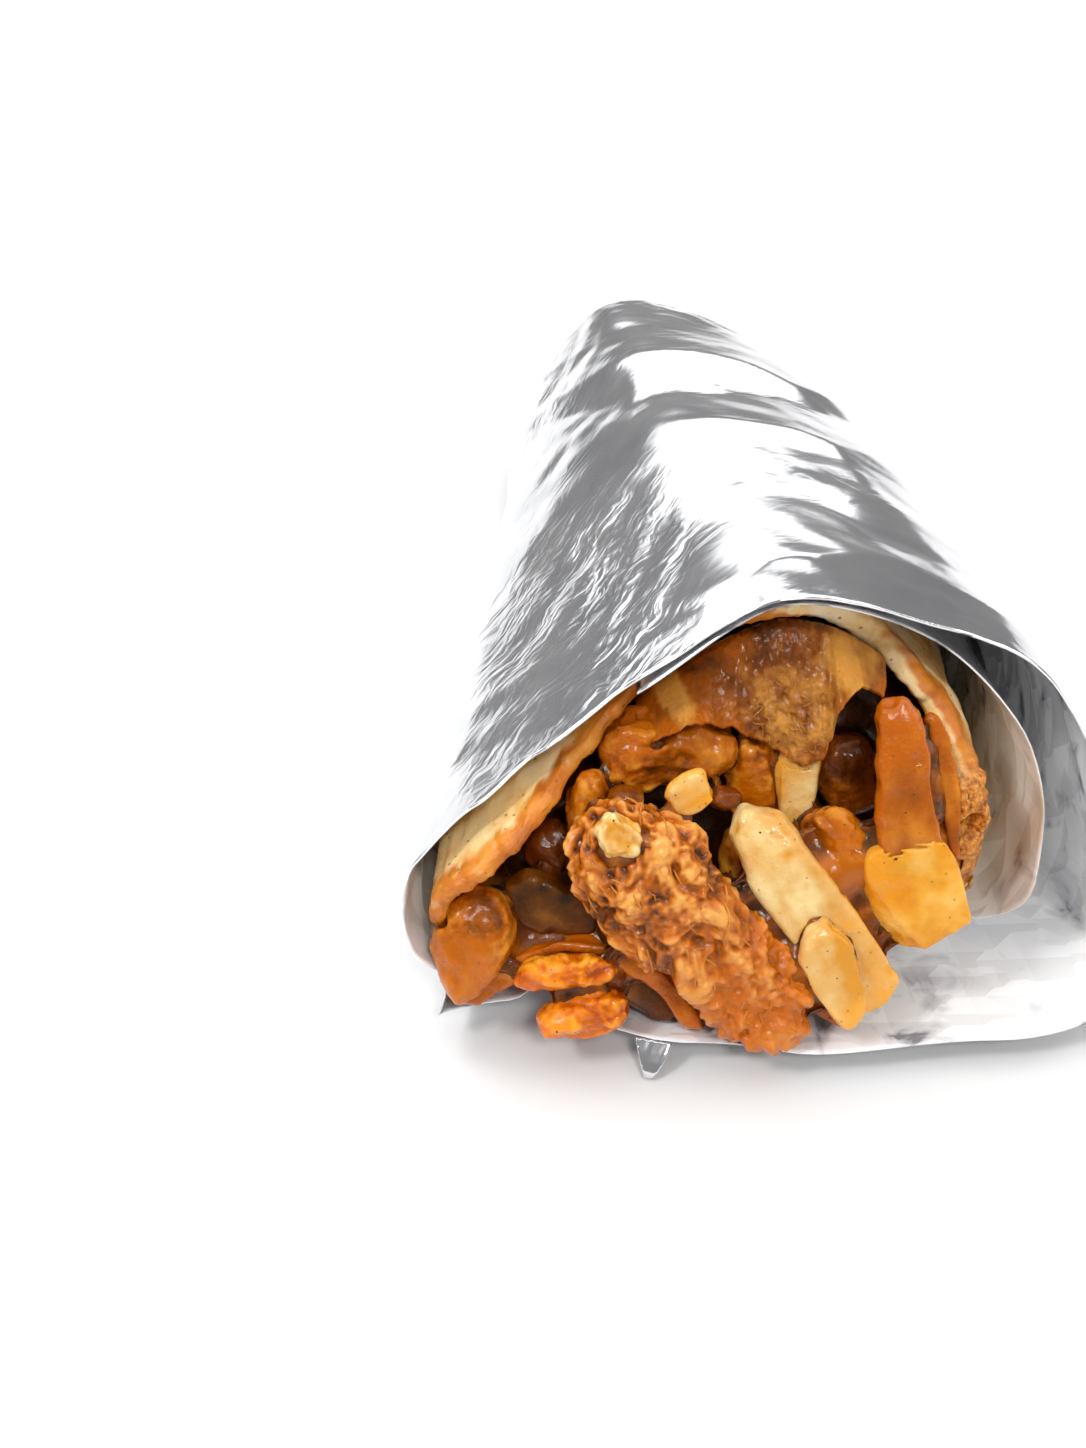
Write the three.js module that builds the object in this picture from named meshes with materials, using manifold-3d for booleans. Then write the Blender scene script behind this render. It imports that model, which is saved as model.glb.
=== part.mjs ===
// Chicken wrap in a pita, rolled in paper-lined foil, lying on its side with the open end at -Y.
// Millimetres, +Z up, the wrap's length along Y, the lowest foil on z = 0.
import * as THREE from 'three';
import { mergeVertices } from 'three/addons/utils/BufferGeometryUtils.js';
import { ImprovedNoise } from 'three/addons/math/ImprovedNoise.js';
import Module from 'manifold-3d';

const wasm = await Module();
wasm.setup();

// Driving dimensions
const wrapLength = 212;
const foilThickness = 0.6;
const foilPitch = 1.1;
const foilStart = 112;
const foilTurn = 571;
const foilLift = 4.5;
const pitaThickness = 4;
const pitaLength = 194;
const coreLength = 199;
const endFold = 28;
const clearance = 0.35;
const axisX = -5.5;
const frameShift = [-9.14, -101.78, -0.08];

// Half-widths of the rolled pita, left and right of its axis, along its length
const leftHalf = [[-10, 37], [0, 37], [40, 34], [95, 29], [131, 26], [160, 26.5], [178, 28.5], [212, 24]];
const rightHalf = [[-10, 38.5], [0, 38.5], [30, 43], [60, 47], [110, 48], [140, 46], [168, 37], [190, 25.5], [212, 21]];
// Front edges, as distance along Y against the angle round the wrap
const foilRim = [[0, 16], [32, 19], [70, 22], [94, 19], [107, 15], [121, 11], [150, 16], [205, 22], [216, 12],
  [230, 2], [252, -1], [268, 0], [284, 1], [299, 4], [318, 9], [335, 13], [359, 17], [389, 18], [414, 19],
  [439, 20], [459, 19], [479, 16], [504, 7], [532, -4.5], [550, -7], [561, -5], [571, -2]];
const pitaRim = [[-95, 45], [-50, 38], [-25, 22], [-10, 8], [8, 9], [24, 15], [36, 20.5], [50, 27.5], [62, 27.5],
  [78, 25.5], [95, 26.5], [110, 25.5], [122, 21.5], [132, 16], [142, 8.5], [152, 3.5], [165, 1], [178, 1],
  [192, 3], [206, 8], [222, 24], [240, 40], [262, 45]];
// How far the bread's right side stands out of the rolled section at the open end
const pitaBulge = 1.8;

const noise = new ImprovedNoise();
const rad = Math.PI / 180;
const lerp = (a, b, t) => a + (b - a) * t;
const clamp = (x, low, high) => Math.min(high, Math.max(low, x));
const smooth = (x) => {
  const t = clamp(x, 0, 1);
  return t * t * (3 - 2 * t);
};
const bell = (x, centre, width) => Math.exp(-(((x - centre) / width) ** 2));
const softPositive = (x, width) => width * Math.log1p(Math.exp(x / width));
const signedPower = (x, power) => Math.sign(x) * Math.abs(x) ** power;

function along(x, keys) {
  for (let i = 1; i < keys.length; i += 1) {
    if (x <= keys[i][0]) {
      const t = (x - keys[i - 1][0]) / (keys[i][0] - keys[i - 1][0]);
      return lerp(keys[i - 1][1], keys[i][1], smooth(t));
    }
  }
  return keys[keys.length - 1][1];
}

// Value at share t of an evenly spaced list
function evenly(list, t) {
  const x = clamp(t, 0, 1) * (list.length - 1);
  const i = Math.min(Math.floor(x), list.length - 2);
  return lerp(list[i], list[i + 1], x - i);
}

// Cross-section of the rolled pita at distance y, grown outwards by grow: a rounded box with one
// flattened flank on the upper left, closing to a flat fold at the far end.
function section(angle, y, grow) {
  const t = clamp(y / wrapLength, -0.1, 1);
  const shut = smooth((y - (wrapLength - endFold)) / endFold);
  const open = 1 - shut;
  const c = Math.cos(angle * rad);
  const s = Math.sin(angle * rad);
  const middle = lerp(23, 19, t);
  const up = (61.5 - 0.085 * y - middle) * open + 1.1 * shut;
  const down = middle * open + 1.1 * shut;
  const power = 2 / (s > 0 ? 2.3 : 3);
  const half = c > 0 ? along(y, rightHalf) : along(y, leftHalf);
  let x = (half + grow) * signedPower(c, power);
  let z = ((s > 0 ? up : down) + grow) * signedPower(s, power);
  const flank = lerp(124.6, 142, t) * rad;
  const over = Math.cos(flank) * x + Math.sin(flank) * z - (lerp(23.6, 20.5, t) + grow);
  const press = softPositive(over, 2.2) * open;
  x -= Math.cos(flank) * press;
  z -= Math.sin(flank) * press;
  return [x + axisX, z + down + 0.9];
}

// Main creases of the foil's outer turn: ridges between two points of (angle along the roll, y)
const foilCreases = [
  { from: [342, 113], to: [417, 90], height: 1.6, width: 9 },
  { from: [417, 90], to: [308, 74], height: 1.4, width: 9 },
  { from: [417, 90], to: [437, 20], height: 1.5, width: 9 },
  { from: [357, 126], to: [421, 120], height: 1.1, width: 7 },
  { from: [324, 140], to: [306, 75], height: 1.1, width: 8 },
];

function creaseHeight(turn, y) {
  let height = 0;
  for (const crease of foilCreases) {
    const [ax, ay] = [crease.from[0] * 0.6, crease.from[1]];
    const [dx, dy] = [crease.to[0] * 0.6 - ax, crease.to[1] - ay];
    const t = clamp(((turn * 0.6 - ax) * dx + (y - ay) * dy) / (dx * dx + dy * dy), 0, 1);
    const distance = Math.hypot(turn * 0.6 - ax - dx * t, y - ay - dy * t);
    height = Math.max(height, crease.height * Math.max(0, 1 - distance / crease.width));
  }
  return height;
}

// Middle surface of the foil: one sheet rolled 1.6 turns, flaring where its front edges stand free
function foilPoint(turn, y) {
  const angle = foilStart - turn;
  const grow = 0.9 + (foilPitch * turn) / 360;
  const behind = Math.max(y - along(turn, foilRim), 0);
  const curl = turn < 260 ? 9 * bell(turn, 118, 36) * Math.exp(-behind / 30) : 0;
  const lapel = 14 * bell(turn, 475, 48) * Math.exp(-behind / 70);
  const apron = 36 * bell(turn, 520, 30) * Math.exp(-behind / 32);
  const pleat = (8 * bell(turn, 241, 10) - 2.4 * bell(turn, 264, 9)) * Math.exp(-behind / 16);
  const flare = curl + pleat + (lapel + apron) * smooth((turn - 395) / 50)
    + creaseHeight(turn, y) * smooth((turn - 300) / 10) * smooth((wrapLength - endFold - y) / 20);
  const [sx, sz] = section(angle, y, grow);
  const x = sx + flare * Math.cos(angle * rad);
  const z = sz + flare * Math.sin(angle * rad);
  const above = turn < 300 ? 1 - smooth((turn - 215) / 40) : 0;
  const ground = foilThickness / 2 + foilPitch * above;
  const lift = foilLift * Math.exp(-behind / 14) * Math.exp(-Math.max(z, 0) / 25);
  return [x, y, ground + softPositive(z - ground, 1.2) + lift];
}

// Extra room that the food leaves inside the foil where the far end slopes down to its fold
function endInset(y) {
  return 2 * smooth((y - 158) / 34);
}

// Middle surface of the bread at an angle round the wrap
function pitaPoint(angle, y) {
  const bumps = 0.5 * noise.noise(angle * 0.045, y * 0.11, 3.7);
  const bulge = pitaBulge * bell(angle, 12, 26) * Math.exp(-Math.max(0, y - 8) / 22) - 0.8 * bell(angle, 46, 17);
  const [x, z] = section(angle, y, -pitaThickness / 2 - 0.7 + bumps + bulge - endInset(y));
  const under = foilPoint((foilStart - angle + 360) % 360, y)[2];
  const floor = under + foilThickness / 2 + 0.7 + pitaThickness / 2;
  return [x, y, z > 20 ? z : Math.max(z, floor)];
}

function signedVolume(points, faces) {
  let sum = 0;
  for (const [i, j, k] of faces) {
    const [a, b, c] = [points[i], points[j], points[k]];
    sum += a[0] * (b[1] * c[2] - b[2] * c[1]) + a[1] * (b[2] * c[0] - b[0] * c[2]) + a[2] * (b[0] * c[1] - b[1] * c[0]);
  }
  return sum / 6;
}

function toGeometry(points, faces) {
  const turned = signedVolume(points, faces) < 0;
  const index = faces.flatMap(([a, b, c]) => (turned ? [a, c, b] : [a, b, c]));
  const geometry = new THREE.BufferGeometry();
  geometry.setAttribute('position', new THREE.Float32BufferAttribute(points.flat(), 3));
  geometry.setIndex(index);
  return geometry;
}

// Closed sheet of a given thickness about a middle surface; its free edges are rounded by edgeRound.
function sheetSolid({ point, thickness, countU, countV, edgeRound = 0 }) {
  const points = [];
  const faces = [];
  const sub = (a, b) => a.map((value, i) => value - b[i]);
  const cell = (i, j) => i * (countV + 1) + j;
  const size = (countU + 1) * (countV + 1);
  const middles = [];
  const sides = [[], []];
  for (let i = 0; i <= countU; i += 1) {
    for (let j = 0; j <= countV; j += 1) {
      const [u, v] = [i / countU, j / countV];
      const p = point(u, v);
      const step = 0.002;
      const tu = sub(point(Math.min(1, u + step), v), point(Math.max(0, u - step), v));
      const tv = sub(point(u, Math.min(1, v + step)), point(u, Math.max(0, v - step)));
      const n = new THREE.Vector3(...tu).cross(new THREE.Vector3(...tv)).normalize().toArray();
      const half = (typeof thickness === 'function' ? thickness(u, v) : thickness) / 2;
      middles.push(p);
      sides[0].push(p.map((value, k) => value + n[k] * half));
      sides[1].push(p.map((value, k) => value - n[k] * half));
    }
  }
  points.push(...sides[0], ...sides[1]);
  for (let i = 0; i < countU; i += 1) {
    for (let j = 0; j < countV; j += 1) {
      const [a, b, c, d] = [cell(i, j), cell(i + 1, j), cell(i + 1, j + 1), cell(i, j + 1)];
      faces.push([a, b, c], [a, c, d], [size + a, size + c, size + b], [size + a, size + d, size + c]);
    }
  }
  const border = [];
  for (let i = 0; i < countU; i += 1) {
    border.push([cell(i, 0), cell(i, 1)]);
  }
  for (let j = 0; j < countV; j += 1) {
    border.push([cell(countU, j), cell(countU - 1, j)]);
  }
  for (let i = countU; i > 0; i -= 1) {
    border.push([cell(i, countV), cell(i, countV - 1)]);
  }
  for (let j = countV; j > 0; j -= 1) {
    border.push([cell(0, j), cell(1, j)]);
  }
  const rounded = edgeRound > 0;
  const first = points.length;
  for (const [edge, inner] of border) {
    if (rounded) {
      const out = new THREE.Vector3(...sub(middles[edge], middles[inner])).normalize().multiplyScalar(edgeRound);
      points.push(middles[edge].map((value, k) => value + out.getComponent(k)));
    }
  }
  border.forEach(([a], k) => {
    const [b] = border[(k + 1) % border.length];
    if (rounded) {
      const [p, q] = [first + k, first + ((k + 1) % border.length)];
      faces.push([a, p, q], [a, q, b], [size + a, q, p], [size + a, size + b, q]);
    } else {
      faces.push([a, size + b, b], [a, size + a, size + b]);
    }
  });
  return toGeometry(points, faces);
}

// The food leans back at the open end: across, up and out are directions on that leaning heap.
const lean = 0.52;
const leanLength = Math.hypot(1, lean);
const heapFoot = -5;
function fromHeap([across, up, out]) {
  return [across, heapFoot + (up * lean - out) / leanLength, (up + out * lean) / leanLength];
}

// One lump or strip of food: a bent spine with a rounded section, roughened by noise.
// widths are shares of the width along the piece; bend is the rise of its middle, in its own plane
// and towards the viewer; block sharpens the section's corners, blunt its two ends.
function pieceSolid(piece, grow = 0) {
  const { at, length, width, thick, turn, roll = 0, pitch = 0, widths = [1, 1], thicks = [1, 1] } = piece;
  const { bend = 0, bow = 0, hook = 0, block = 2.4, blunt = 2.6, rough = 0.6, grain = 4, seed = 1 } = piece;
  const { rings = 10, sides = 12 } = piece;
  const spine = (s) => [s * (length / 2), bend * (1 - s * s) + hook * s * (1 - s * s), bow * (1 - s * s)];
  const turnFrame = new THREE.Matrix4().makeRotationZ(turn * rad)
    .multiply(new THREE.Matrix4().makeRotationY(pitch * rad))
    .multiply(new THREE.Matrix4().makeRotationX(roll * rad));
  const place = (local) => {
    const p = new THREE.Vector3(...local).applyMatrix4(turnFrame);
    return fromHeap([at[0] + p.x, at[1] + p.y, at[2] + p.z]);
  };
  const points = [];
  const faces = [];
  const ringPoint = (s, phi) => {
    const t = (s + 1) / 2;
    const end = Math.max(0, 1 - Math.abs(s) ** blunt) ** (1 / blunt);
    const [x, y, z] = spine(s);
    const slope = Math.atan2(-2 * bend * s + hook * (1 - 3 * s * s), length / 2);
    const w = (width / 2) * evenly(widths, t);
    const h = (thick / 2) * evenly(thicks, t);
    const a = signedPower(Math.cos(phi), 2 / block);
    const b = signedPower(Math.sin(phi), 2 / block);
    const wave = noise.noise((x + seed * 7.3) / grain, (w * a) / grain, (h * b) / grain + seed)
      + 0.5 * noise.noise((2.2 * x) / grain + seed, (2.2 * w * a) / grain, (2.2 * h * b) / grain);
    const swell = 1 + (rough * wave) / Math.max(2, Math.min(w, h));
    const cy = (w * swell + grow) * a * end;
    const cz = (h * swell + grow) * b * end;
    const reach = grow * s;
    return [x + reach - Math.sin(slope) * cy, y + Math.cos(slope) * cy, z + cz];
  };
  points.push(place(ringPoint(-1, 0)));
  for (let r = 1; r < rings; r += 1) {
    const s = -Math.cos((Math.PI * r) / rings);
    for (let k = 0; k < sides; k += 1) {
      points.push(place(ringPoint(s, (2 * Math.PI * k) / sides)));
    }
  }
  points.push(place(ringPoint(1, 0)));
  const last = points.length - 1;
  for (let k = 0; k < sides; k += 1) {
    const next = (k + 1) % sides;
    faces.push([0, 1 + k, 1 + next]);
    for (let r = 0; r < rings - 2; r += 1) {
      const [a, b] = [1 + r * sides + k, 1 + r * sides + next];
      faces.push([a, a + sides, b + sides], [a, b + sides, b]);
    }
    faces.push([last, 1 + (rings - 2) * sides + next, 1 + (rings - 2) * sides + k]);
  }
  return toGeometry(points, faces);
}

// Rows of the foil from its front edge to the far seam, as shares of its length, and angles that
// take equal numbers of columns
const foilRows = [0, 0.03, 0.07, 0.13, 0.22, 0.33, 0.44, 0.55, 0.66, 0.76, 0.85, 0.91, 0.955, 1];
const foilColumns = [0, 72, 136, 208, 242, 278, 344, 424, 498, foilTurn];

// Foil, bread and the inner layer of the bread
function foilSolid(grow = 0) {
  return sheetSolid({
    point: (u, v) => {
      const turn = evenly(foilColumns, u);
      const front = along(turn, foilRim);
      const y = lerp(front, wrapLength, evenly(foilRows, v));
      return foilPoint(turn, y);
    },
    thickness: foilThickness + 2 * grow,
    countU: 8 * (foilColumns.length - 1),
    countV: foilRows.length - 1,
  });
}

function pitaSolid(grow = 0) {
  return sheetSolid({
    point: (u, v) => {
      const angle = lerp(-94, 262, u);
      const ragged = 0.8 * noise.noise(angle * 0.09, 1.3, 0);
      const front = along(angle, pitaRim) + ragged - grow * 2;
      const y = lerp(front, pitaLength, v ** 1.6 * 0.5 + v * 0.5);
      return pitaPoint(angle, y);
    },
    thickness: (u, v) => pitaThickness * (0.92 - 0.32 * Math.exp(-v / 0.1)) + 2 * grow,
    countU: 46,
    countV: 8,
    edgeRound: 0.9 + grow,
  });
}

// Hem of the bread's inner layer, hanging under the arch: height against x
const plyHem = [[-18, 43], [-13, 43.4], [-7, 43.7], [-5, 43.4], [0, 41.1], [3.8, 39.2], [8.7, 36.9], [11, 36.7],
  [12.8, 37.8], [13.6, 41], [14.2, 45.6], [15, 47], [18.4, 48.7], [22, 49.7], [25, 51]];

function plySolid(grow = 0) {
  return sheetSolid({
    point: (u, v) => {
      const angle = lerp(118, 45, u);
      const [sx, sz] = section(angle, 27, -pitaThickness - 1.9 + grow);
      const x = sx + 3 * v * (0.5 - u);
      const hem = Math.min(along(x, plyHem), sz - 1.2) - grow * 2;
      const z = lerp(sz, hem, v);
      const hang = 9 * (1 - v) ** 1.2 + 1.6 * Math.sin(x * 0.33 + 0.6) * v;
      return [x, 18 + hang + 1.2 * noise.noise(x * 0.14, v * 1.7, 8.2), z];
    },
    thickness: (u, v) => 2 - 0.4 * v + 0.4 * noise.noise(u * 6, v * 3, 2.2) + 2 * grow,
    countU: 20,
    countV: 4,
    edgeRound: 0.4 + grow,
  });
}

// Short tab of foil folded down to the ground at the apron's end
function tabSolid() {
  const corners = [[-12.6, -3.6, 4.6], [-7.4, -4.6, 4.4], [-10.2, -7.6, 0.5], [-11.4, -7.3, 0.5]];
  return sheetSolid({
    point: (u, v) => [0, 1, 2].map((k) => {
      const top = lerp(corners[0][k], corners[1][k], u);
      const bottom = lerp(corners[3][k], corners[2][k], u);
      return lerp(top, bottom, v) - (k === 1 ? 0.7 * Math.sin(Math.PI * v) : 0);
    }),
    thickness: 0.5,
    countU: 3,
    countV: 4,
  });
}

// Filling behind the heap: fills the bread from the open end to the far fold
function coreSolid() {
  const rings = 12;
  const sides = 26;
  const points = [];
  const faces = [];
  for (let r = 0; r <= rings; r += 1) {
    for (let k = 0; k < sides; k += 1) {
      const angle = (360 * k) / sides;
      const t = r / rings;
      const ends = Math.min(smooth(t * 7 + 0.45), smooth((1 - t) * 7 + 0.45));
      const wave = noise.noise(angle * 0.05, t * 16, 5.1);
      const back = lerp(34, coreLength, t);
      const inset = -pitaThickness - 1.9 - 0.8 * wave - 5 * (1 - ends) - 1.75 * endInset(back);
      const probe = section(angle, back, inset);
      const floor = foilThickness + foilPitch + 1.6 + pitaThickness + 0.9;
      const z = Math.max(probe[1], floor + 0.4 * wave);
      const front = 9 + 0.36 * z + 1.6 * noise.noise(probe[0] * 0.16, z * 0.16, 2.4);
      const y = t < 0.5 ? lerp(front, back, smooth(t * 4)) : back;
      points.push([probe[0], y, z]);
    }
  }
  const caps = [points.length, points.length + 1];
  for (const r of [0, rings]) {
    const ring = points.slice(r * sides, (r + 1) * sides);
    const mean = [0, 1, 2].map((axis) => ring.reduce((sum, p) => sum + p[axis], 0) / sides);
    points.push(mean);
  }
  for (let k = 0; k < sides; k += 1) {
    const next = (k + 1) % sides;
    faces.push([caps[0], k, next]);
    for (let r = 0; r < rings; r += 1) {
      const [a, b] = [r * sides + k, r * sides + next];
      faces.push([a, a + sides, b + sides], [a, b + sides, b]);
    }
    faces.push([caps[1], rings * sides + next, rings * sides + k]);
  }
  return toGeometry(points, faces);
}

// Pieces of filling at the open end, nearest first: each is cut back where a nearer one lies
const pieces = {
  chicken_bit: {
    at: [-15.4, 34.6, 8], length: 7, width: 6, thick: 4.6, turn: -25, block: 2.8, blunt: 2.6, rough: 0.7,
    grain: 3, seed: 3, rings: 6, sides: 8, color: 0xd99a45, roughness: 0.42,
  },
  chicken_main: {
    at: [-5, 21, 2.6], length: 41, width: 18.2, thick: 11.5, turn: -58.5, hook: 5.8, bow: 2,
    widths: [0.86, 1.06, 1.06, 0.92, 0.76, 0.78, 0.8, 0.68], thicks: [0.8, 1, 1, 0.8, 0.9, 0.7],
    block: 2.6, blunt: 3.1, rough: 1.5, grain: 5, seed: 11, rings: 15, sides: 15, color: 0xb5661f, roughness: 0.45,
  },
  chicken_top: {
    at: [-8, 43.5, -5], length: 19.8, width: 11.8, thick: 9, turn: 5, bend: 1,
    widths: [0.8, 1.04, 1, 0.92, 0.62], block: 2.5, blunt: 2.8, rough: 1.1, grain: 5, seed: 21, rings: 9, sides: 11,
    color: 0xbb6c22, roughness: 0.4,
  },
  onion_pale_bit: {
    at: [-5.3, 39.3, 2.4], length: 8.2, width: 5, thick: 3, turn: 28, bow: 0.5, widths: [0.6, 1, 1, 0.7], block: 3,
    blunt: 3, rough: 0.3, seed: 23, rings: 6, sides: 8, color: 0xdcae72, roughness: 0.38,
  },
  onion_front: {
    at: [13.8, 15.2, 5], length: 16.4, width: 8.8, thick: 3.4, turn: -70, bow: 0.8,
    widths: [0.3, 0.72, 1, 0.86, 0.66, 0.46], block: 3.6, blunt: 4.5, rough: 0.25, seed: 31, rings: 8, sides: 10,
    color: 0xe9cb92, roughness: 0.32,
  },
  onion_center: {
    at: [11.7, 23.6, 1.6], length: 35, width: 9.8, thick: 4.8, turn: -54, bend: -1, bow: 1.8,
    widths: [0.66, 0.86, 0.98, 1.02, 1, 0.94, 0.86], thicks: [0.7, 1, 1, 1, 0.8], block: 3.2, blunt: 4.6, rough: 0.3,
    grain: 8, seed: 33, rings: 13, sides: 12, color: 0xe7c68a, roughness: 0.3,
  },
  onion_lower: {
    at: [13.8, 9.6, 0.6], length: 9, width: 5.6, thick: 5, turn: -30, block: 2.8, blunt: 2.8, rough: 0.4, seed: 35,
    rings: 6, sides: 8, color: 0xd9a24c, roughness: 0.35,
  },
  onion_tall: {
    at: [22.3, 40.2, 3.6], length: 24, width: 8.4, thick: 3.4, turn: -81, bend: 0.6, bow: 0.6,
    widths: [0.7, 0.72, 0.86, 1, 1.1], block: 3.2, blunt: 4.2, rough: 0.35, grain: 5, seed: 41, rings: 9, sides: 10,
    color: 0xcf7f2a, roughness: 0.38,
  },
  potato_right: {
    at: [25, 26.4, 2], length: 17.4, width: 12.4, thick: 8.5, turn: -62, hook: -0.6,
    widths: [0.76, 0.98, 1.02, 1, 0.94, 0.78], block: 5, blunt: 5, rough: 0.35, grain: 8, seed: 43, rings: 9,
    sides: 12, color: 0xe0a045, roughness: 0.36,
  },
  chicken_right: {
    at: [15.4, 30.8, 0], length: 13.6, width: 10.8, thick: 8.6, turn: -60, widths: [0.85, 1, 1, 0.76], block: 2.3,
    blunt: 2.5, rough: 1, grain: 4.4, seed: 45, rings: 8, sides: 10, color: 0xc97a2c, roughness: 0.42,
  },
  chicken_low_right: {
    at: [20.6, 21.8, -2.4], length: 11, width: 7.6, thick: 6.5, turn: -51, rough: 0.8, seed: 47, rings: 6, sides: 8,
    color: 0xb86a22, roughness: 0.42,
  },
  onion_inner: {
    at: [28.6, 39.8, 0.6], length: 21, width: 3.2, thick: 3, turn: -79, bend: 1.2, block: 2.6, blunt: 3, rough: 0.4,
    seed: 51, rings: 8, sides: 7, color: 0xcb7a2c, roughness: 0.4,
  },
  onion_upper: {
    at: [9.9, 39.8, -3.8], length: 13.4, width: 5.8, thick: 3.8, turn: -92, bow: 0.5, widths: [1, 1, 1, 0.86, 0.6],
    block: 3.2, blunt: 4, rough: 0.3, seed: 53, rings: 7, sides: 8, color: 0xdfb878, roughness: 0.33,
  },
  chicken_small: {
    at: [-0.6, 38.4, 0.4], length: 5, width: 4, thick: 4, turn: -10, rough: 0.5, grain: 3, seed: 55, rings: 5,
    sides: 7, color: 0xb5661f, roughness: 0.42,
  },
  chicken_middle: {
    at: [3.6, 26.2, -3.8], length: 16.5, width: 8, thick: 6.6, turn: -80, widths: [0.8, 1, 1, 0.8], rough: 0.9,
    seed: 57, rings: 7, sides: 9, color: 0xa85a1a, roughness: 0.42,
  },
  chicken_back: {
    at: [4.4, 41, -6.2], length: 11.4, width: 8.6, thick: 6, turn: -84, rough: 0.8, seed: 59, rings: 7, sides: 8,
    color: 0xa9581a, roughness: 0.42,
  },
  chicken_back_right: {
    at: [17.8, 40.4, -7], length: 12, width: 9.4, thick: 6.5, turn: -66, block: 3, rough: 0.5, seed: 61, rings: 7,
    sides: 8, color: 0x7c3d10, roughness: 0.42,
  },
  chicken_left: {
    at: [-19.3, 35.4, -1.6], length: 13.4, width: 6, thick: 6.5, turn: -94, rough: 0.8, grain: 3.5, seed: 63,
    rings: 7, sides: 8, color: 0xa9601f, roughness: 0.42,
  },
  chicken_back_left: {
    at: [-23.2, 29, -6.5], length: 10.5, width: 8.4, thick: 6, turn: -54, rough: 0.5, seed: 65, rings: 6, sides: 8,
    color: 0x8a4715, roughness: 0.42,
  },
  vegetable_orange_upper: {
    at: [-22.4, 14.2, 3.2], length: 14.4, width: 4.9, thick: 5.6, turn: 6, bend: 0.7,
    widths: [0.8, 1, 1, 0.9, 0.7], block: 2.6, blunt: 2.8, rough: 0.7, grain: 4, seed: 71, rings: 8, sides: 9,
    color: 0xe8891c, roughness: 0.34,
  },
  vegetable_orange_lower: {
    at: [-19.8, 8.6, 3], length: 13.4, width: 6.2, thick: 6, turn: 13, widths: [0.7, 1, 1.05, 0.9], block: 2.8,
    blunt: 2.8, rough: 0.8, grain: 4, seed: 73, rings: 8, sides: 9, color: 0xd9731a, roughness: 0.36,
  },
  onion_arch: {
    at: [-20.2, 6.8, 0.2], length: 33.4, width: 3, thick: 6, turn: -6, bend: 10.8, hook: 0.8,
    widths: [1.7, 1.25, 0.85, 0.9, 1, 1, 1.1, 1.3], block: 2.6, blunt: 3.4, rough: 0.3, grain: 6, seed: 75, rings: 15,
    sides: 8, color: 0xb8772a, roughness: 0.34,
  },
  onion_brown: {
    at: [-23.8, 22.2, -2.4], length: 15, width: 8.2, thick: 5.5, turn: -23, bow: 0.6, widths: [0.75, 1, 1, 0.8, 0.5],
    block: 2.6, blunt: 3, rough: 0.3, seed: 77, rings: 8, sides: 9, color: 0x7c4d1b, roughness: 0.28,
  },
  chicken_lobe: {
    at: [-35, 17.8, 0.6], length: 17.2, width: 11.4, thick: 8.6, turn: -101, widths: [0.8, 1, 1, 0.8, 0.5],
    block: 2.3, blunt: 2.5, rough: 0.4, grain: 7, seed: 79, rings: 9, sides: 10, color: 0xb06a20, roughness: 0.34,
  },
  onion_low_dark: {
    at: [-10.4, 9.8, -2.6], length: 10, width: 5.6, thick: 5, turn: -46, rough: 0.4, seed: 81, rings: 6, sides: 7,
    color: 0x7a4512, roughness: 0.36,
  },
};

function toManifold(geometry) {
  const clean = geometry.clone();
  clean.deleteAttribute('normal');
  clean.deleteAttribute('uv');
  const merged = mergeVertices(clean, 1e-4);
  return new wasm.Manifold(new wasm.Mesh({
    numProp: 3,
    vertProperties: new Float32Array(merged.attributes.position.array),
    triVerts: new Uint32Array(merged.index.array),
  }));
}

function toBufferGeometry(solid) {
  const mesh = solid.getMesh();
  const geometry = new THREE.BufferGeometry();
  geometry.setAttribute('position', new THREE.Float32BufferAttribute(Array.from(mesh.vertProperties), 3));
  geometry.setIndex(Array.from(mesh.triVerts));
  return geometry;
}

function largest(solid) {
  const bodies = solid.decompose();
  return bodies.reduce((best, body) => (body.volume() > best.volume() ? body : best));
}

const group = new THREE.Group();
function addNode(name, geometry, color, roughness, metalness = 0) {
  const flat = geometry.clone().translate(...frameShift);
  flat.computeVertexNormals();
  const material = new THREE.MeshStandardMaterial({ color, roughness, metalness });
  const mesh = new THREE.Mesh(flat, material);
  mesh.name = name;
  group.add(mesh);
}

addNode('foil_wrap', foilSolid(), 0xc9cacc, 0.32, 1);
addNode('foil_tab', toBufferGeometry(largest(toManifold(tabSolid()).subtract(toManifold(foilSolid(clearance))))),
  0xb4b5b8, 0.34, 1);
addNode('pita_bread', pitaSolid(), 0xe6c48c, 0.75);

const walls = [clearance, clearance / 2].map((gap) => toManifold(foilSolid(gap)));
walls.push(toManifold(pitaSolid(clearance)));
const ply = walls.reduce((left, wall) => left.subtract(wall), toManifold(plySolid()));
addNode('pita_inner_layer', toBufferGeometry(largest(ply)), 0xb97e3e, 0.8);

const nearer = [...walls, toManifold(plySolid(clearance))];
for (const [name, piece] of Object.entries(pieces)) {
  const whole = toManifold(pieceSolid(piece));
  const cut = nearer.reduce((left, other) => left.subtract(other), whole);
  addNode(name, toBufferGeometry(largest(cut)), piece.color, piece.roughness);
  nearer.push(toManifold(pieceSolid(piece, clearance)));
}

const core = nearer.reduce((left, other) => left.subtract(other), toManifold(coreSolid()));
addNode('filling_core', toBufferGeometry(largest(core)), 0x8f4e18, 0.5);

group.name = 'chicken_wrap';
export default group;
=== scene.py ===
# Chicken and onion wrap in pita bread, rolled in paper-lined foil and open at the near end.
# The forms are worked out in millimetres in the roll's own frame, then placed in metres.
import math
import random

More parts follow.
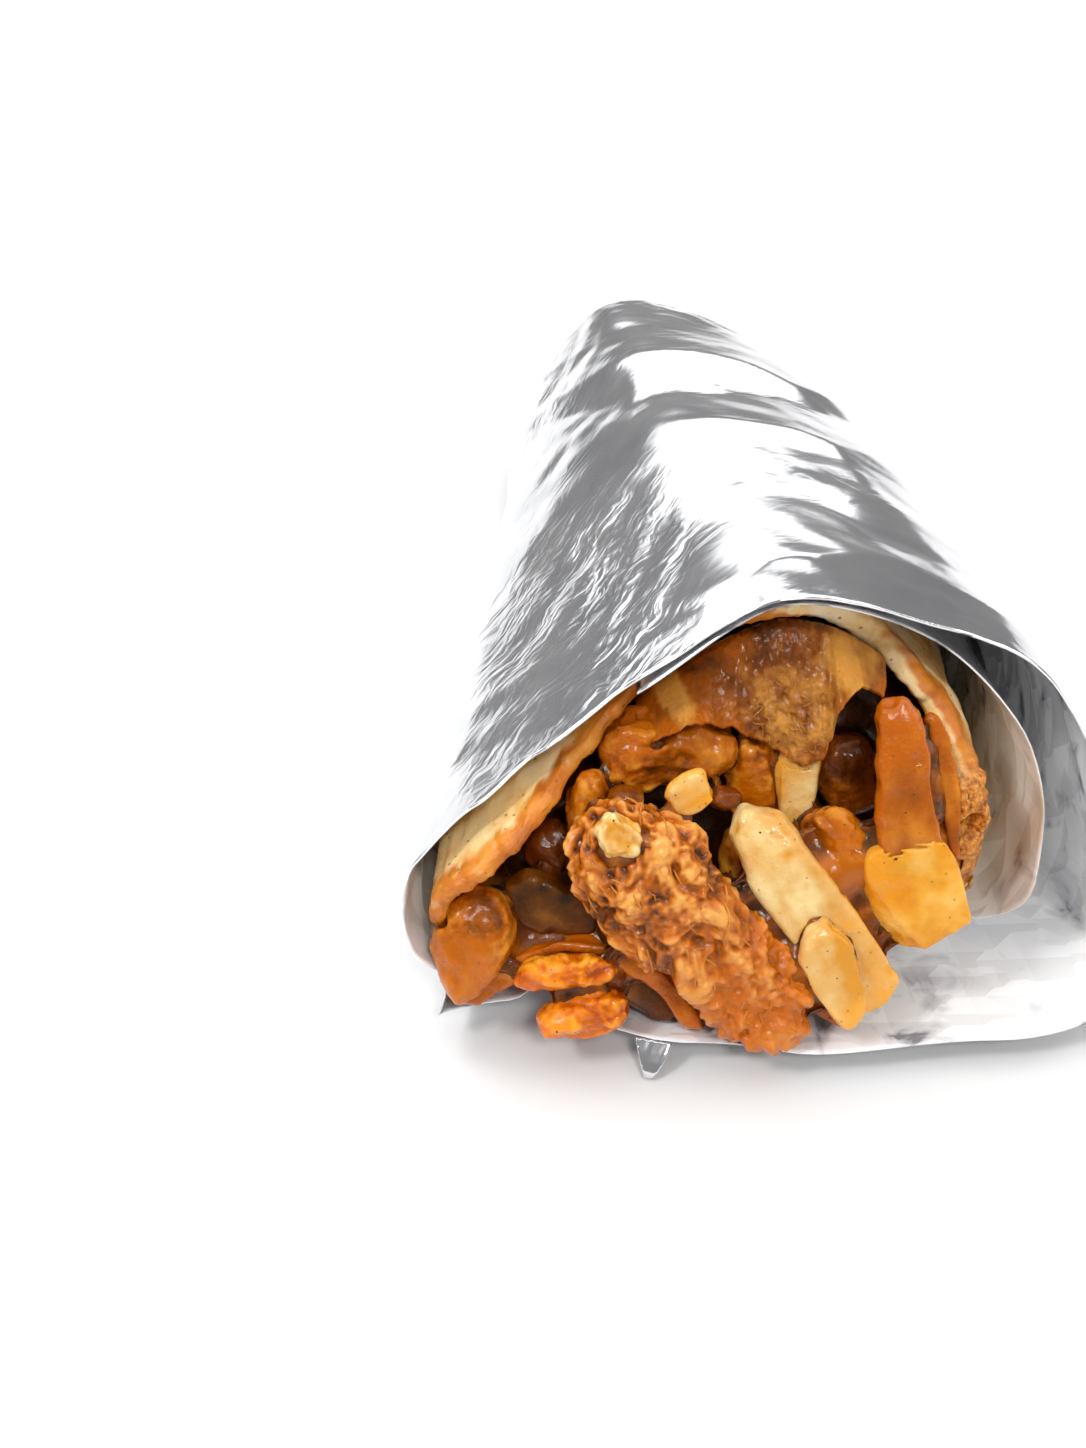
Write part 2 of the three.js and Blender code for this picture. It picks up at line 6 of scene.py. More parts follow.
import bmesh
import bpy
from mathutils import Matrix, Vector, noise
from mathutils.bvhtree import BVHTree
from mathutils.geometry import delaunay_2d_cdt


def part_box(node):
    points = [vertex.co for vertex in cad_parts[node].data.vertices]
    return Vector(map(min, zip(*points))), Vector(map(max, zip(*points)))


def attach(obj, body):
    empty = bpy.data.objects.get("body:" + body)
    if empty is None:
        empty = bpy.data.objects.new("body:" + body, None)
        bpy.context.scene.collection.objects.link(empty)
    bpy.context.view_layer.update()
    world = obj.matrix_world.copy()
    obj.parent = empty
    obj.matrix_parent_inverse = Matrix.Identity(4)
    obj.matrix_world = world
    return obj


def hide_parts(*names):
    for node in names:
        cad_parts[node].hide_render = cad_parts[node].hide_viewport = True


# noise_vector's offsets follow the clock unless they are seeded, and with them the meat's relief
reliefSeed = 1795551483
noise.seed_set(reliefSeed)

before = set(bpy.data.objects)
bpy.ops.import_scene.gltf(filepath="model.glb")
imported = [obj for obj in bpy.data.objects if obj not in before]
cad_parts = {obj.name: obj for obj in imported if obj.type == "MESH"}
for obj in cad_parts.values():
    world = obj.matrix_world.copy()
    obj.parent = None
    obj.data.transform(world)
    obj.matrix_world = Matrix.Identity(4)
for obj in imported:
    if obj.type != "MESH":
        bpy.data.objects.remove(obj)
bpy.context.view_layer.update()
print("frame loaded:", len(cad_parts), "nodes")

roll = {
    "length": 212.0,
    "endFold": 28.0,            # how much of its length the far end takes to close
    "endHalf": 1.1,             # half the thickness that is left there
    "axisX": -5.5,
    "floor": 0.9,
    "height": 61.5,
    "fall": 0.085,              # how much lower it gets for each millimetre along it
    "widestAt": (23, 19),       # heights at the mouth and at the end, as for the next two
    "flankTurn": (124.6, 142),
    "flankReach": (23.6, 20.5),
    "squareness": (2.3, 3),     # above and below the widest place
    "shift": (-9.14, -101.78, -0.08),
    # half widths: distance from the mouth, width
    "leftHalf": [(-10, 37), (0, 37), (40, 34), (95, 29), (131, 26), (160, 26.5), (178, 28.5), (212, 24)],
    "rightHalf": [(-10, 38.5), (0, 38.5), (30, 43), (60, 47), (110, 48), (140, 46), (168, 37), (190, 25.5),
                  (212, 21)],
}


def lerp(a, b, t):
    return a + (b - a) * t


def clamp(x):
    return min(1.0, max(0.0, x))


def smooth(x):
    t = clamp(x)
    return t * t * (3 - 2 * t)


def bell(x, centre, width):
    return math.exp(-(((x - centre) / width) ** 2))


def softPositive(x, width):
    return width * math.log1p(math.exp(min(60.0, x / width)))


def signedPower(x, power):
    return math.copysign(abs(x) ** power, x)


def along(x, keys):
    # value at x on a smooth line through the keys
    for (x0, y0), (x1, y1) in zip(keys, keys[1:]):
        if x <= x1:
            return lerp(y0, y1, smooth((x - x0) / (x1 - x0)))
    return keys[-1][1]


def fuzz(*point):
    return noise.noise(Vector(point))


def place(point):
    return Vector([(value + shift) / 1000 for value, shift in zip(point, roll["shift"])])


# Cross-section of the roll at distance y, moved out by grow: a rounded box, flattened upper left
def section(angle, y, grow):
    t = min(1.0, max(-0.1, y / roll["length"]))
    shut = smooth((y - (roll["length"] - roll["endFold"])) / roll["endFold"])
    c, s = math.cos(math.radians(angle)), math.sin(math.radians(angle))
    middle = lerp(*roll["widestAt"], t)
    up = (roll["height"] - roll["fall"] * y - middle) * (1 - shut) + roll["endHalf"] * shut
    down = middle * (1 - shut) + roll["endHalf"] * shut
    power = 2 / roll["squareness"][0 if s > 0 else 1]
    half = along(y, roll["rightHalf"] if c > 0 else roll["leftHalf"])
    x = (half + grow) * signedPower(c, power)
    z = ((up if s > 0 else down) + grow) * signedPower(s, power)
    flank = math.radians(lerp(*roll["flankTurn"], t))
    over = math.cos(flank) * x + math.sin(flank) * z - (lerp(*roll["flankReach"], t) + grow)
    press = softPositive(over, 2.2) * (1 - shut)
    return x - math.cos(flank) * press + roll["axisX"], z - math.sin(flank) * press + down + roll["floor"]


# Colours, material nodes and small mesh helpers
def hexColor(text):
    parts = [int(text[i:i + 2], 16) / 255 for i in (1, 3, 5)]
    return tuple(p / 12.92 if p <= 0.04045 else ((p + 0.055) / 1.055) ** 2.4 for p in parts) + (1.0,)


def perMm(size):
    # pattern scale for a feature of this many millimetres, as the coordinates are in metres
    return 1000.0 / size


def newMaterial(name):
    material = bpy.data.materials.new(name)
    material.use_nodes = True
    material.node_tree.nodes.clear()
    return material


def addNode(material, kind, values=None, links=None, stops=None, **settings):
    node = material.node_tree.nodes.new(kind)
    for key, value in settings.items():
        setattr(node, key, value)
    for key, value in (values or {}).items():
        node.inputs[key].default_value = value
    for key, source in (links or {}).items():
        material.node_tree.links.new(source, node.inputs[key])
    if stops:
        ramp = node.color_ramp
        while len(ramp.elements) < len(stops):
            ramp.elements.new(0.5)
        for element, (position, color) in zip(ramp.elements, stops):
            element.position = position
            element.color = hexColor(color)
    return node


def linkPiece(name, bm):
    mesh = bpy.data.meshes.new(name)
    bm.to_mesh(mesh)
    bm.free()
    piece = bpy.data.objects.new(name, mesh)
    bpy.context.collection.objects.link(piece)
    return piece


def finishPiece(piece, materials, slot, *nodes):
    for material in materials:
        piece.data.materials.append(material)
    piece.data.polygons.foreach_set("use_smooth", [True] * len(piece.data.polygons))
    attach(piece, "root")
    if nodes:
        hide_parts(*nodes)
    return piece


def bakeModifiers(piece):
    # the piece's shape as its modifiers leave it, as a plain mesh
    evaluated = piece.evaluated_get(bpy.context.evaluated_depsgraph_get())
    mesh = bpy.data.meshes.new_from_object(evaluated)
    piece.modifiers.clear()
    old = piece.data
    piece.data = mesh
    bpy.data.meshes.remove(old)


def gridMesh(columns, rows, point, layers):
    # a grid bent into shape: point gives x, y, z in mm and then one tone for each layer
    bm = bmesh.new()
    bmesh.ops.create_grid(bm, x_segments=columns, y_segments=rows, size=0.5)
    tones = [bm.verts.layers.float.new(layer) for layer in layers]
    for vert in bm.verts:
        x, y, z, *values = point(vert.co.x + 0.5, vert.co.y + 0.5)
        vert.co = place((x, y, z))
        for tone, value in zip(tones, values):
            vert[tone] = value
    return bm


# Materials
def foilMaterial():
    # Household aluminium foil, rolled and crushed by hand: a satin mirror. Two nets of flat-faced
    # dents, drawn out along the sheet ("across" and "ahead" measure it in metres), and a fine grain
    # give small facets that each catch or lose the light, most where "crush" is high.
    m = newMaterial("crinkledAluminiumFoil")
    across = addNode(m, "ShaderNodeAttribute", attribute_name="across")
    ahead = addNode(m, "ShaderNodeAttribute", attribute_name="ahead")
    spot = addNode(m, "ShaderNodeCombineXYZ",
                   links={"X": across.outputs["Fac"], "Y": ahead.outputs["Fac"]}).outputs[0]
    wander = addNode(m, "ShaderNodeTexNoise", {"Scale": perMm(16), "Detail": 3.0}, {"Vector": spot})
    bent = addNode(m, "ShaderNodeVectorMath", {1: (0.018, 0.018, 0.018)},
                   {0: wander.outputs["Color"], 2: spot}, operation="MULTIPLY_ADD")
    slant = addNode(m, "ShaderNodeMapping", {"Rotation": (0, 0, math.radians(37)), "Scale": (3.6, 1.0, 1.0)},
                    {"Vector": bent.outputs[0]}, vector_type="TEXTURE").outputs["Vector"]
    wide = addNode(m, "ShaderNodeTexVoronoi", {"Scale": perMm(6.5)}, {"Vector": slant}, distance="MANHATTAN")
    narrow = addNode(m, "ShaderNodeTexVoronoi", {"Scale": perMm(1.9)}, {"Vector": slant},
                     distance="MANHATTAN")
    grain = addNode(m, "ShaderNodeTexNoise", {"Scale": perMm(1.6), "Detail": 3.0, "Roughness": 0.55},
                    {"Vector": slant})
    crush = addNode(m, "ShaderNodeAttribute", attribute_name="crush")
    wideHeight = addNode(m, "ShaderNodeMath", {1: 0.36}, {0: wide.outputs["Distance"]}, operation="MULTIPLY")
    bothHeights = addNode(m, "ShaderNodeMath", {1: 0.2},
                          {0: narrow.outputs["Distance"], 2: wideHeight.outputs[0]}, operation="MULTIPLY_ADD")
    height = addNode(m, "ShaderNodeMath", {1: 0.08}, {0: grain.outputs["Fac"], 2: bothHeights.outputs[0]},
                     operation="MULTIPLY_ADD")
    crushed = addNode(m, "ShaderNodeMath", links={0: height.outputs[0], 1: crush.outputs["Fac"]},
                      operation="MULTIPLY")
    bump = addNode(m, "ShaderNodeBump", {"Strength": 1.0, "Distance": 0.00042},
                   {"Height": crushed.outputs[0]})
    tint = addNode(m, "ShaderNodeValToRGB", links={"Fac": wander.outputs["Fac"]},
                   stops=[(0.3, "#D2D3D6"), (0.7, "#EEEEF0")])
    shader = addNode(m, "ShaderNodeBsdfPrincipled", {"Metallic": 1.0, "Roughness": 0.14},
                     {"Base Color": tint.outputs["Color"], "Normal": bump.outputs["Normal"]})
    addNode(m, "ShaderNodeOutputMaterial", links={"Surface": shader.outputs[0]})
    return m


def liningMaterial():
    # Thin white tissue paper glued to the foil: matt white, soft creases, a few grey smudges where
    # the foil shows through, and warm brown where the attribute "greaseAndReflection" says so: a grease
    # mark, and on the curl a painted reflection of the food.
    m = newMaterial("whitePaperLining")
    spot = addNode(m, "ShaderNodeTexCoord").outputs["Object"]
    creases = addNode(m, "ShaderNodeTexVoronoi", {"Scale": perMm(9)}, {"Vector": spot}, distance="MANHATTAN")
    smudge = addNode(m, "ShaderNodeTexNoise", {"Scale": perMm(15), "Detail": 4.0, "Distortion": 1.6},
                     {"Vector": spot})
    paper = addNode(m, "ShaderNodeValToRGB", links={"Fac": smudge.outputs["Fac"]},
                    stops=[(0.34, "#8C8C90"), (0.38, "#D6D6DA"), (0.47, "#FAFAFA")])
    greaseAndReflection = addNode(m, "ShaderNodeAttribute", attribute_name="greaseAndReflection")
    warm = addNode(m, "ShaderNodeMix", {"B": hexColor("#C7A58C")},
                   {"Factor": greaseAndReflection.outputs["Fac"], "A": paper.outputs["Color"]}, data_type="RGBA")
    bump = addNode(m, "ShaderNodeBump", {"Strength": 0.6, "Distance": 0.0016},
                   {"Height": creases.outputs["Distance"]})
    shader = addNode(m, "ShaderNodeBsdfPrincipled", {"Roughness": 0.5, "IOR": 1.45},
                     {"Base Color": warm.outputs["Result"], "Normal": bump.outputs["Normal"]})
    addNode(m, "ShaderNodeOutputMaterial", links={"Surface": shader.outputs[0]})
    return m


def breadMaterial():
    # Griddled pita: a dry matt skin, cream with golden toasted patches and tiny brown specks, orange where
    # sauce has soaked its edge and inside, the same darker colours on the right-hand band as painted shade
    # under the foil ("soakedAndShaded"), and brown and open where it is torn ("torn").
    m = newMaterial("griddledPitaBread")
    spot = addNode(m, "ShaderNodeTexCoord").outputs["Object"]
    patches = addNode(m, "ShaderNodeTexNoise", {"Scale": perMm(9), "Detail": 5.0, "Roughness": 0.62},
                      {"Vector": spot})
    skin = addNode(m, "ShaderNodeValToRGB", links={"Fac": patches.outputs["Fac"]},
                   stops=[(0.34, "#FFEDC8"), (0.52, "#F8D898"), (0.68, "#E2A648")])
    soakedAndShaded = addNode(m, "ShaderNodeAttribute", attribute_name="soakedAndShaded")
    drenchAndShadeRamp = addNode(m, "ShaderNodeValToRGB", links={"Fac": patches.outputs["Fac"]},
                     stops=[(0.34, "#A45206"), (0.5, "#CA7416"), (0.66, "#E09430")])
    saucy = addNode(m, "ShaderNodeMix", links={"Factor": soakedAndShaded.outputs["Fac"], "A": skin.outputs["Color"],
                                               "B": drenchAndShadeRamp.outputs["Color"]}, data_type="RGBA")
    specks = addNode(m, "ShaderNodeTexVoronoi", {"Scale": perMm(2.2)}, {"Vector": spot})
    speckAmount = addNode(m, "ShaderNodeMapRange", {"From Min": 0.15, "From Max": 0.09, "To Max": 0.7},
                          {"Value": specks.outputs["Distance"]})
    speckled = addNode(m, "ShaderNodeMix", {"B": hexColor("#8A5326")},
                       {"Factor": speckAmount.outputs[0], "A": saucy.outputs["Result"]}, data_type="RGBA")
    crumb = addNode(m, "ShaderNodeTexNoise", {"Scale": perMm(0.9), "Detail": 4.0, "Roughness": 0.65},
                    {"Vector": spot})
    openCrumb = addNode(m, "ShaderNodeValToRGB", links={"Fac": crumb.outputs["Fac"]},
                        stops=[(0.35, "#7C3C08"), (0.5, "#C27418"), (0.65, "#E2A450")])
    torn = addNode(m, "ShaderNodeAttribute", attribute_name="torn")
    tone = addNode(m, "ShaderNodeMix", links={"Factor": torn.outputs["Fac"], "A": speckled.outputs["Result"],
                                              "B": openCrumb.outputs["Color"]}, data_type="RGBA")
    bump = addNode(m, "ShaderNodeBump", {"Strength": 0.6, "Distance": 0.0004},
                   {"Height": crumb.outputs["Fac"]})
    dryness = addNode(m, "ShaderNodeMapRange", {"To Min": 0.6, "To Max": 0.34},
                      {"Value": soakedAndShaded.outputs["Fac"]})
    shader = addNode(m, "ShaderNodeBsdfPrincipled",
                     {"IOR": 1.45, "Subsurface Weight": 0.2, "Subsurface Radius": (1.0, 0.5, 0.25),
                      "Subsurface Scale": 0.0015},
                     {"Base Color": tone.outputs["Result"], "Roughness": dryness.outputs[0],
                      "Normal": bump.outputs["Normal"]})
    addNode(m, "ShaderNodeOutputMaterial", links={"Surface": shader.outputs[0]})
    return m


def foodMaterial(name, creaseShade, body, proudTintAndHighlight, sauce, gloss, fine, softness=0.2):
    # Cooked food under a thin glossy sauce: darkened in its creases as painted shade and paler on what stands
    # proud, partly its own paler tone and partly painted highlight ("relief"), with the sauce's own colour
    # and shine where it pools ("sauced") and tiny spice specks. A warm highlight and a clear coat with a
    # softer bump of its own give the oily film over it.
    m = newMaterial(name)
    spot = addNode(m, "ShaderNodeTexCoord").outputs["Object"]
    relief = addNode(m, "ShaderNodeAttribute", attribute_name="relief")
    sauced = addNode(m, "ShaderNodeAttribute", attribute_name="sauced")
    mottle = addNode(m, "ShaderNodeTexNoise", {"Scale": perMm(3), "Detail": 5.0, "Roughness": 0.62},
                     {"Vector": spot})
    level = addNode(m, "ShaderNodeMath", {1: 0.45, 2: -0.1}, {0: mottle.outputs["Fac"]},
                    operation="MULTIPLY_ADD")
    mixed = addNode(m, "ShaderNodeMath", {1: 0.75}, {0: relief.outputs["Fac"], 2: level.outputs[0]},
                    operation="MULTIPLY_ADD")
    # dark end: painted shade in the creases; pale end: partly the food's own paler tone, partly painted
    # highlight
    fleshShadeAndHighlight = addNode(m, "ShaderNodeValToRGB", links={"Fac": mixed.outputs[0]},
                    stops=[(0.26, creaseShade), (0.5, body), (0.76, proudTintAndHighlight)])
    pools = addNode(m, "ShaderNodeTexNoise", {"Scale": perMm(6), "Detail": 3.0, "Distortion": 0.6},
                    {"Vector": spot})
    pooled = addNode(m, "ShaderNodeMath", links={0: pools.outputs["Fac"], 1: sauced.outputs["Fac"]},
                     operation="ADD")
    poolAmount = addNode(m, "ShaderNodeMapRange", {"From Min": 0.72, "From Max": 1.15, "To Max": 0.85},
                         {"Value": pooled.outputs[0]})
    saucy = addNode(m, "ShaderNodeMix", {"B": hexColor(sauce)},
                    {"Factor": poolAmount.outputs[0], "A": fleshShadeAndHighlight.outputs["Color"]}, data_type="RGBA")
    specks = addNode(m, "ShaderNodeTexVoronoi", {"Scale": perMm(2.3)}, {"Vector": spot})
    speckAmount = addNode(m, "ShaderNodeMapRange", {"From Min": 0.1, "From Max": 0.05, "To Max": 0.45},
                          {"Value": specks.outputs["Distance"]})
    tone = addNode(m, "ShaderNodeMix", {"B": hexColor("#6E3408")},
                   {"Factor": speckAmount.outputs[0], "A": saucy.outputs["Result"]}, data_type="RGBA")
    grain = addNode(m, "ShaderNodeTexNoise", {"Scale": perMm(fine), "Detail": 5.0, "Roughness": 0.6},
                    {"Vector": spot})
    bump, film = [addNode(m, "ShaderNodeBump", {"Strength": strength, "Distance": 0.0007},
                          {"Height": grain.outputs["Fac"]}) for strength in (0.6, 0.16)]
    wet = addNode(m, "ShaderNodeMapRange",
                  {"From Min": 0.0, "From Max": 0.85, "To Min": gloss + 0.16, "To Max": gloss},
                  {"Value": poolAmount.outputs[0]})
    shader = addNode(m, "ShaderNodeBsdfPrincipled",
                     {"IOR": 1.34, "Subsurface Weight": softness, "Subsurface Radius": (1.0, 0.42, 0.16),
                      "Subsurface Scale": 0.0018, "Specular IOR Level": 0.7,
                      "Specular Tint": hexColor("#FFC68C"), "Coat Weight": 0.48, "Coat Roughness": 0.06},
                     {"Base Color": tone.outputs["Result"], "Roughness": wet.outputs[0],
                      "Normal": bump.outputs["Normal"], "Coat Normal": film.outputs["Normal"]})
    addNode(m, "ShaderNodeOutputMaterial", links={"Surface": shader.outputs[0]})
    return m


foilSkin = foilMaterial()
paperLining = liningMaterial()
pitaSkin = breadMaterial()
# each food's colours: painted shade in its creases, between, and on top partly its own paler tone and partly
# painted highlight; its sauce, roughness, grain in mm, softness
saucyCrumb = foodMaterial("sauceSoakedPitaCrumb", "#4A2000", "#8A4404", "#DA9840", "#C06404", 0.24, 0.8)
braisedChicken = foodMaterial("braisedChickenInSauce", "#461A00", "#BE6206", "#EAA44E", "#CA6602", 0.2, 0.8)
sauceCoatedChicken = foodMaterial("sauceCoatedChicken", "#481C00", "#B45A00", "#E29A2C", "#C26400", 0.18, 1.1)
darkChicken = foodMaterial("shadedChickenInSauce", "#2C1000", "#6E2E00", "#A65806", "#783400", 0.2, 1.1)
softOnion = foodMaterial("softCookedOnion", "#D8942C", "#E2B268", "#F2D898", "#F4A82C", 0.16, 1.4, 0.35)
sauceOnion = foodMaterial("onionInSauce", "#8A4000", "#B25C02", "#DE8C28", "#BC5C00", 0.18, 1.1, 0.3)
brownOnion = foodMaterial("brownedOnion", "#241000", "#5A2E02", "#965C16", "#622A00", 0.12, 1.1, 0.3)
friedPotato = foodMaterial("friedPotatoWedge", "#D07E12", "#EAA838", "#F6C86C", "#E6941C", 0.22, 1.6, 0.3)
orangeVegetable = foodMaterial("glazedOrangeVegetable", "#A03C00", "#E07602", "#F8A626", "#E06C02", 0.16,
                               1.2, 0.3)
# the sauce between the pieces: its dark colours are partly the sauce's own and partly painted shade of the
# gaps
gapSauceAndShade = foodMaterial("gapSauceAndShade", "#2C1000", "#743400", "#C47008", "#B86000", 0.16, 1.6)
# the core's near-black colours are painted shade deep in the mouth, not the food's own colour
coreInPaintedShade = foodMaterial("fillingCoreInPaintedShade", "#100500", "#2A0E00", "#482000", "#1E0A00", 0.3, 1.5)
print("materials made")

# Foil with its paper lining
foil = {
    "columns": (66, 210),       # hidden first turn, and the turn that shows
    "hiddenTurn": 200.0,
    "rows": (70, 104),          # the front 60 mm, and the rest
    "frontBand": 60.0,
    "thickness": 0.24,
    "start": 112.0,             # where the sheet begins, and how far it turns, in degrees
    "turn": 571.0,
    "pitch": 1.1,               # how much further out each turn lies
    "lift": 4.5,
    # the front edge: degrees round the roll, mm along it
    "rim": [(0, 16), (32, 19), (70, 22), (94, 19), (107, 15), (121, 11), (150, 16), (205, 22), (216, 12),
            (230, 2), (252, -1), (268, 0), (284, 1), (299, 4), (318, 9), (335, 13), (359, 17), (389, 18),
            (414, 19), (439, 20), (459, 19), (479, 16), (504, 7), (532, -4.5), (550, -7), (561, -5),
            (571, -2)],
    # where the edge bends out: middle and half width in degrees, height and fading length in mm
    "curl": (118, 36, 9, 30),
    "pleat": (241, 10, 8, 16),
    "dip": (264, 9, -2.4, 16),
    "lapel": (475, 48, 14, 70),
    "apron": (520, 30, 36, 32),
    # corners of the flat folds on the outer turn: degrees round the roll, mm along it, mm proud
    "folds": [(382, 24, 0.6), (386, 25, 1.6), (391, 27, 1.9), (398, 28, 2), (405, 32, 2), (416, 35, 2),
              (423, 34, 1.8), (428, 30, 1.2), (407, 77, 1.3), (393, 56, 0.7), (381, 50, 0.2), (359, 60, 0),
              (337, 69, 0), (312, 80, 0.2), (414, 85, 2.3), (420, 62, 2), (429, 42, 1.7), (436, 31, 2),
              (447, 31, 1.9), (458, 32, 1.4), (345, 117, 1.6), (370, 98, 2.2), (385, 85, 2.4), (396, 85, 2.4),
              (406, 86, 2.4), (313, 147, 0.6), (351, 125, 0.5), (377, 108, 0.4), (391, 107, 0.4),
              (404, 111, 0.4), (420, 112, 0.4), (440, 118, 0.4), (321, 152, 1.2), (350, 140, 1.8),
              (371, 132, 2), (384, 132, 2.1), (400, 129, 2.1), (415, 122, 1.8), (364, 158, 0.8),
              (385, 156, 0.8), (399, 156, 0.8), (408, 148, 0.8), (330, 30, 0), (359, 24, 0), (372, 30, 0.1),
              (442, 60, 0.9), (450, 92, 1.6), (462, 40, 0.2), (330, 172, 1.3), (352, 176, 0.3),
              (374, 174, 1.1), (396, 178, 0.2), (420, 165, 1.2), (440, 150, 0.3), (452, 130, 1.2),
              (470, 100, 0.2), (472, 70, 0.8)],
    "foldEdge": (285, 490, 188),        # they end at these degrees and this distance
    # smaller folds: direction in degrees, spacing and height in mm, seed
    "crinkles": [(24, 17, 0.3, 3), (118, 24, 0.3, 13), (41, 8.5, 0.2, 21), (80, 11, 0.2, 27),
                 (150, 13, 0.2, 33), (33, 3.9, 0.07, 41), (58, 4.7, 0.07, 45)],
}


def foldNet():
    # flat facets stretched between the fold corners
    low, high, far = foil["foldEdge"]
    corners = list(foil["folds"])
    for y in range(-20, far + 1, 16):
        corners += [(low, y, 0), (high, y, 0)]
    for turn in range(low + 15, high, 15):
        corners += [(turn, along(turn, foil["rim"]) - 1, 0), (turn, far, 0)]
    flat = [Vector((turn * 0.6, y)) for turn, y, _ in corners]
    points, _, faces, sources, _, _ = delaunay_2d_cdt(flat, [], [], 0, 0.001)
    lifted = [(point.x, point.y, corners[source[0]][2]) for point, source in zip(points, sources)]
    return BVHTree.FromPolygons(lifted, faces)


foldFacets = foldNet()


def foldHeight(turn, y):
    hit = foldFacets.ray_cast(Vector((turn * 0.6, y, 50)), Vector((0, 0, -1)))[0]
    return hit.z if hit else 0.0


def bendOut(name, turn, behind):
    middle, width, tall, fade = foil[name]
    return tall * bell(turn, middle, width) * math.exp(-behind / fade)


def foilPoint(turn, y, extra=0.0):
    angle = foil["start"] - turn
    grow = 0.9 + foil["pitch"] * turn / 360
    behind = max(y - along(turn, foil["rim"]), 0)
    curl, pleat, dip, lapel, apron = [bendOut(name, turn, behind)
                                      for name in ("curl", "pleat", "dip", "lapel", "apron")]
    flare = (curl if turn < 260 else 0) + pleat + dip + extra
    flare += (lapel + apron) * smooth((turn - 395) / 50)
    sx, sz = section(angle, y, grow)
    x = sx + flare * math.cos(math.radians(angle))
    z = sz + flare * math.sin(math.radians(angle))
    above = 1 - smooth((turn - 215) / 40) if turn < 300 else 0
    ground = 0.3 + foil["pitch"] * above
    lift = foil["lift"] * math.exp(-behind / 14) * math.exp(-max(z, 0) / 25)
    return x, y, ground + softPositive(z - ground, 1.2) + lift


def crinkleHeight(turn, y):
    # flat facets between sharp folds, from triangle waves that bend and fade
    across = turn * 0.7
    height = 0.0
    for direction, spacing, tall, seed in foil["crinkles"]:
        c, s = math.cos(math.radians(direction)), math.sin(math.radians(direction))
        bend = 0.45 * spacing * fuzz(across / (2.4 * spacing), y / (2.4 * spacing), seed)
        phase = (across * c + y * s + bend) / spacing
        wave = abs(phase - math.floor(phase) - 0.5) * 2 - 0.5
        height += tall * wave * smooth(0.5 + 1.6 * fuzz(across / 30, y / 30, seed + 0.7))
    return height


def foilCrush(turn, y):
    # how finely crushed the foil is: most on the lower left flank, at the far left and in the low folds
    flank = bell(turn, 328, 36) * bell(y, 50, 50)
    farLeft = bell(turn, 305, 30) * bell(y, 150, 30)
    farEnd = smooth((y - 165) / 25)
    low = smooth(1 - foldHeight(turn, y)) * smooth((turn - 340) / 20)
    patch = max(0.0, fuzz(turn * 0.03, y * 0.04, 6))
    return min(1.0, 0.09 + 0.32 * flank + 0.4 * farLeft + 0.3 * farEnd + 0.3 * low + 0.5 * patch)


def foilSurface(u, v):
    hidden = foil["columns"][0] / sum(foil["columns"])
    if u < hidden:
        turn = foil["hiddenTurn"] * u / hidden
    else:
        turn = lerp(foil["hiddenTurn"], foil["turn"], (u - hidden) / (1 - hidden))
    front = along(turn, foil["rim"])
    near = foil["rows"][0] / sum(foil["rows"])
    if v < near:
        y = front + foil["frontBand"] * v / near
    else:
        y = lerp(front + foil["frontBand"], roll["length"], (v - near) / (1 - near))
    crush = foilCrush(turn, y)
    loose = lerp(0.35, 1.0, smooth((turn - 205) / 60)) * lerp(0.4, 1.0, smooth((196 - y) / 26))
    folds = foldHeight(turn, y) + max(-0.3, crinkleHeight(turn, y)) * loose * lerp(0.45, 1.25, crush)
    # warm brown along the curl: painted reflection of the food; the spot near 158 degrees is a grease mark
    curlReflection = 0.6 * bell(turn, 112, 20) * math.exp(-max(0, y - front) / 22)
    sauceStain = 0.9 * smooth(1.6 - math.hypot((turn - 158) / 7, (y - front - 6) / 5))
    greaseAndReflection = clamp(curlReflection * (1 + fuzz(turn * 0.09, y * 0.15, 4)) + sauceStain)
    return *foilPoint(turn, y, folds), crush, greaseAndReflection, turn * 0.0007, y / 1000


foilMesh = gridMesh(sum(foil["columns"]), sum(foil["rows"]), foilSurface,
                    ["crush", "greaseAndReflection", "across", "ahead"])
bmesh.ops.recalc_face_normals(foilMesh, faces=foilMesh.faces)
foilMesh.normal_update()
top = max(foilMesh.verts, key=lambda vert: vert.co.z)
if top.normal.z < 0:
    bmesh.ops.reverse_faces(foilMesh, faces=foilMesh.faces)
foilSheet = linkPiece("foil_sheet", foilMesh)
finishPiece(foilSheet, [foilSkin, paperLining], "foil", "foil_wrap")
wall = foilSheet.modifiers.new("paperBack", "SOLIDIFY")
wall.thickness = foil["thickness"] / 1000
wall.offset = -1
wall.material_offset = 1
wall.material_offset_rim = 1
print("foil:", len(foilSheet.data.polygons), "quads")

# Pita bread, rolled
bread = {
    "columns": 420,
    "rows": 110,
    "thickness": 3.5,
    "length": 194.0,
    # the front edge: degrees round the roll, mm along it
    "rim": [(-98, 45), (-95, 45), (-50, 38), (-25, 22), (-10, 8), (8, 9), (24, 15), (36, 20.5), (50, 27.5),
            (62, 27.5), (78, 25.5), (95, 26.5), (110, 25.5), (122, 21.5), (132, 16), (142, 8.5), (152, 3.5),
            (165, 1), (178, 1), (192, 3), (206, 8), (222, 24), (240, 40), (262, 45)],
    "shut": 0.015,              # share of the rows at either end that closes the far edge
    "tornFrom": -12.0,          # the torn, crumbly part of the edge, in degrees round the roll
    "tornTo": 24.0,
}


def endInset(y):
    return 2 * smooth((y - 158) / 34)


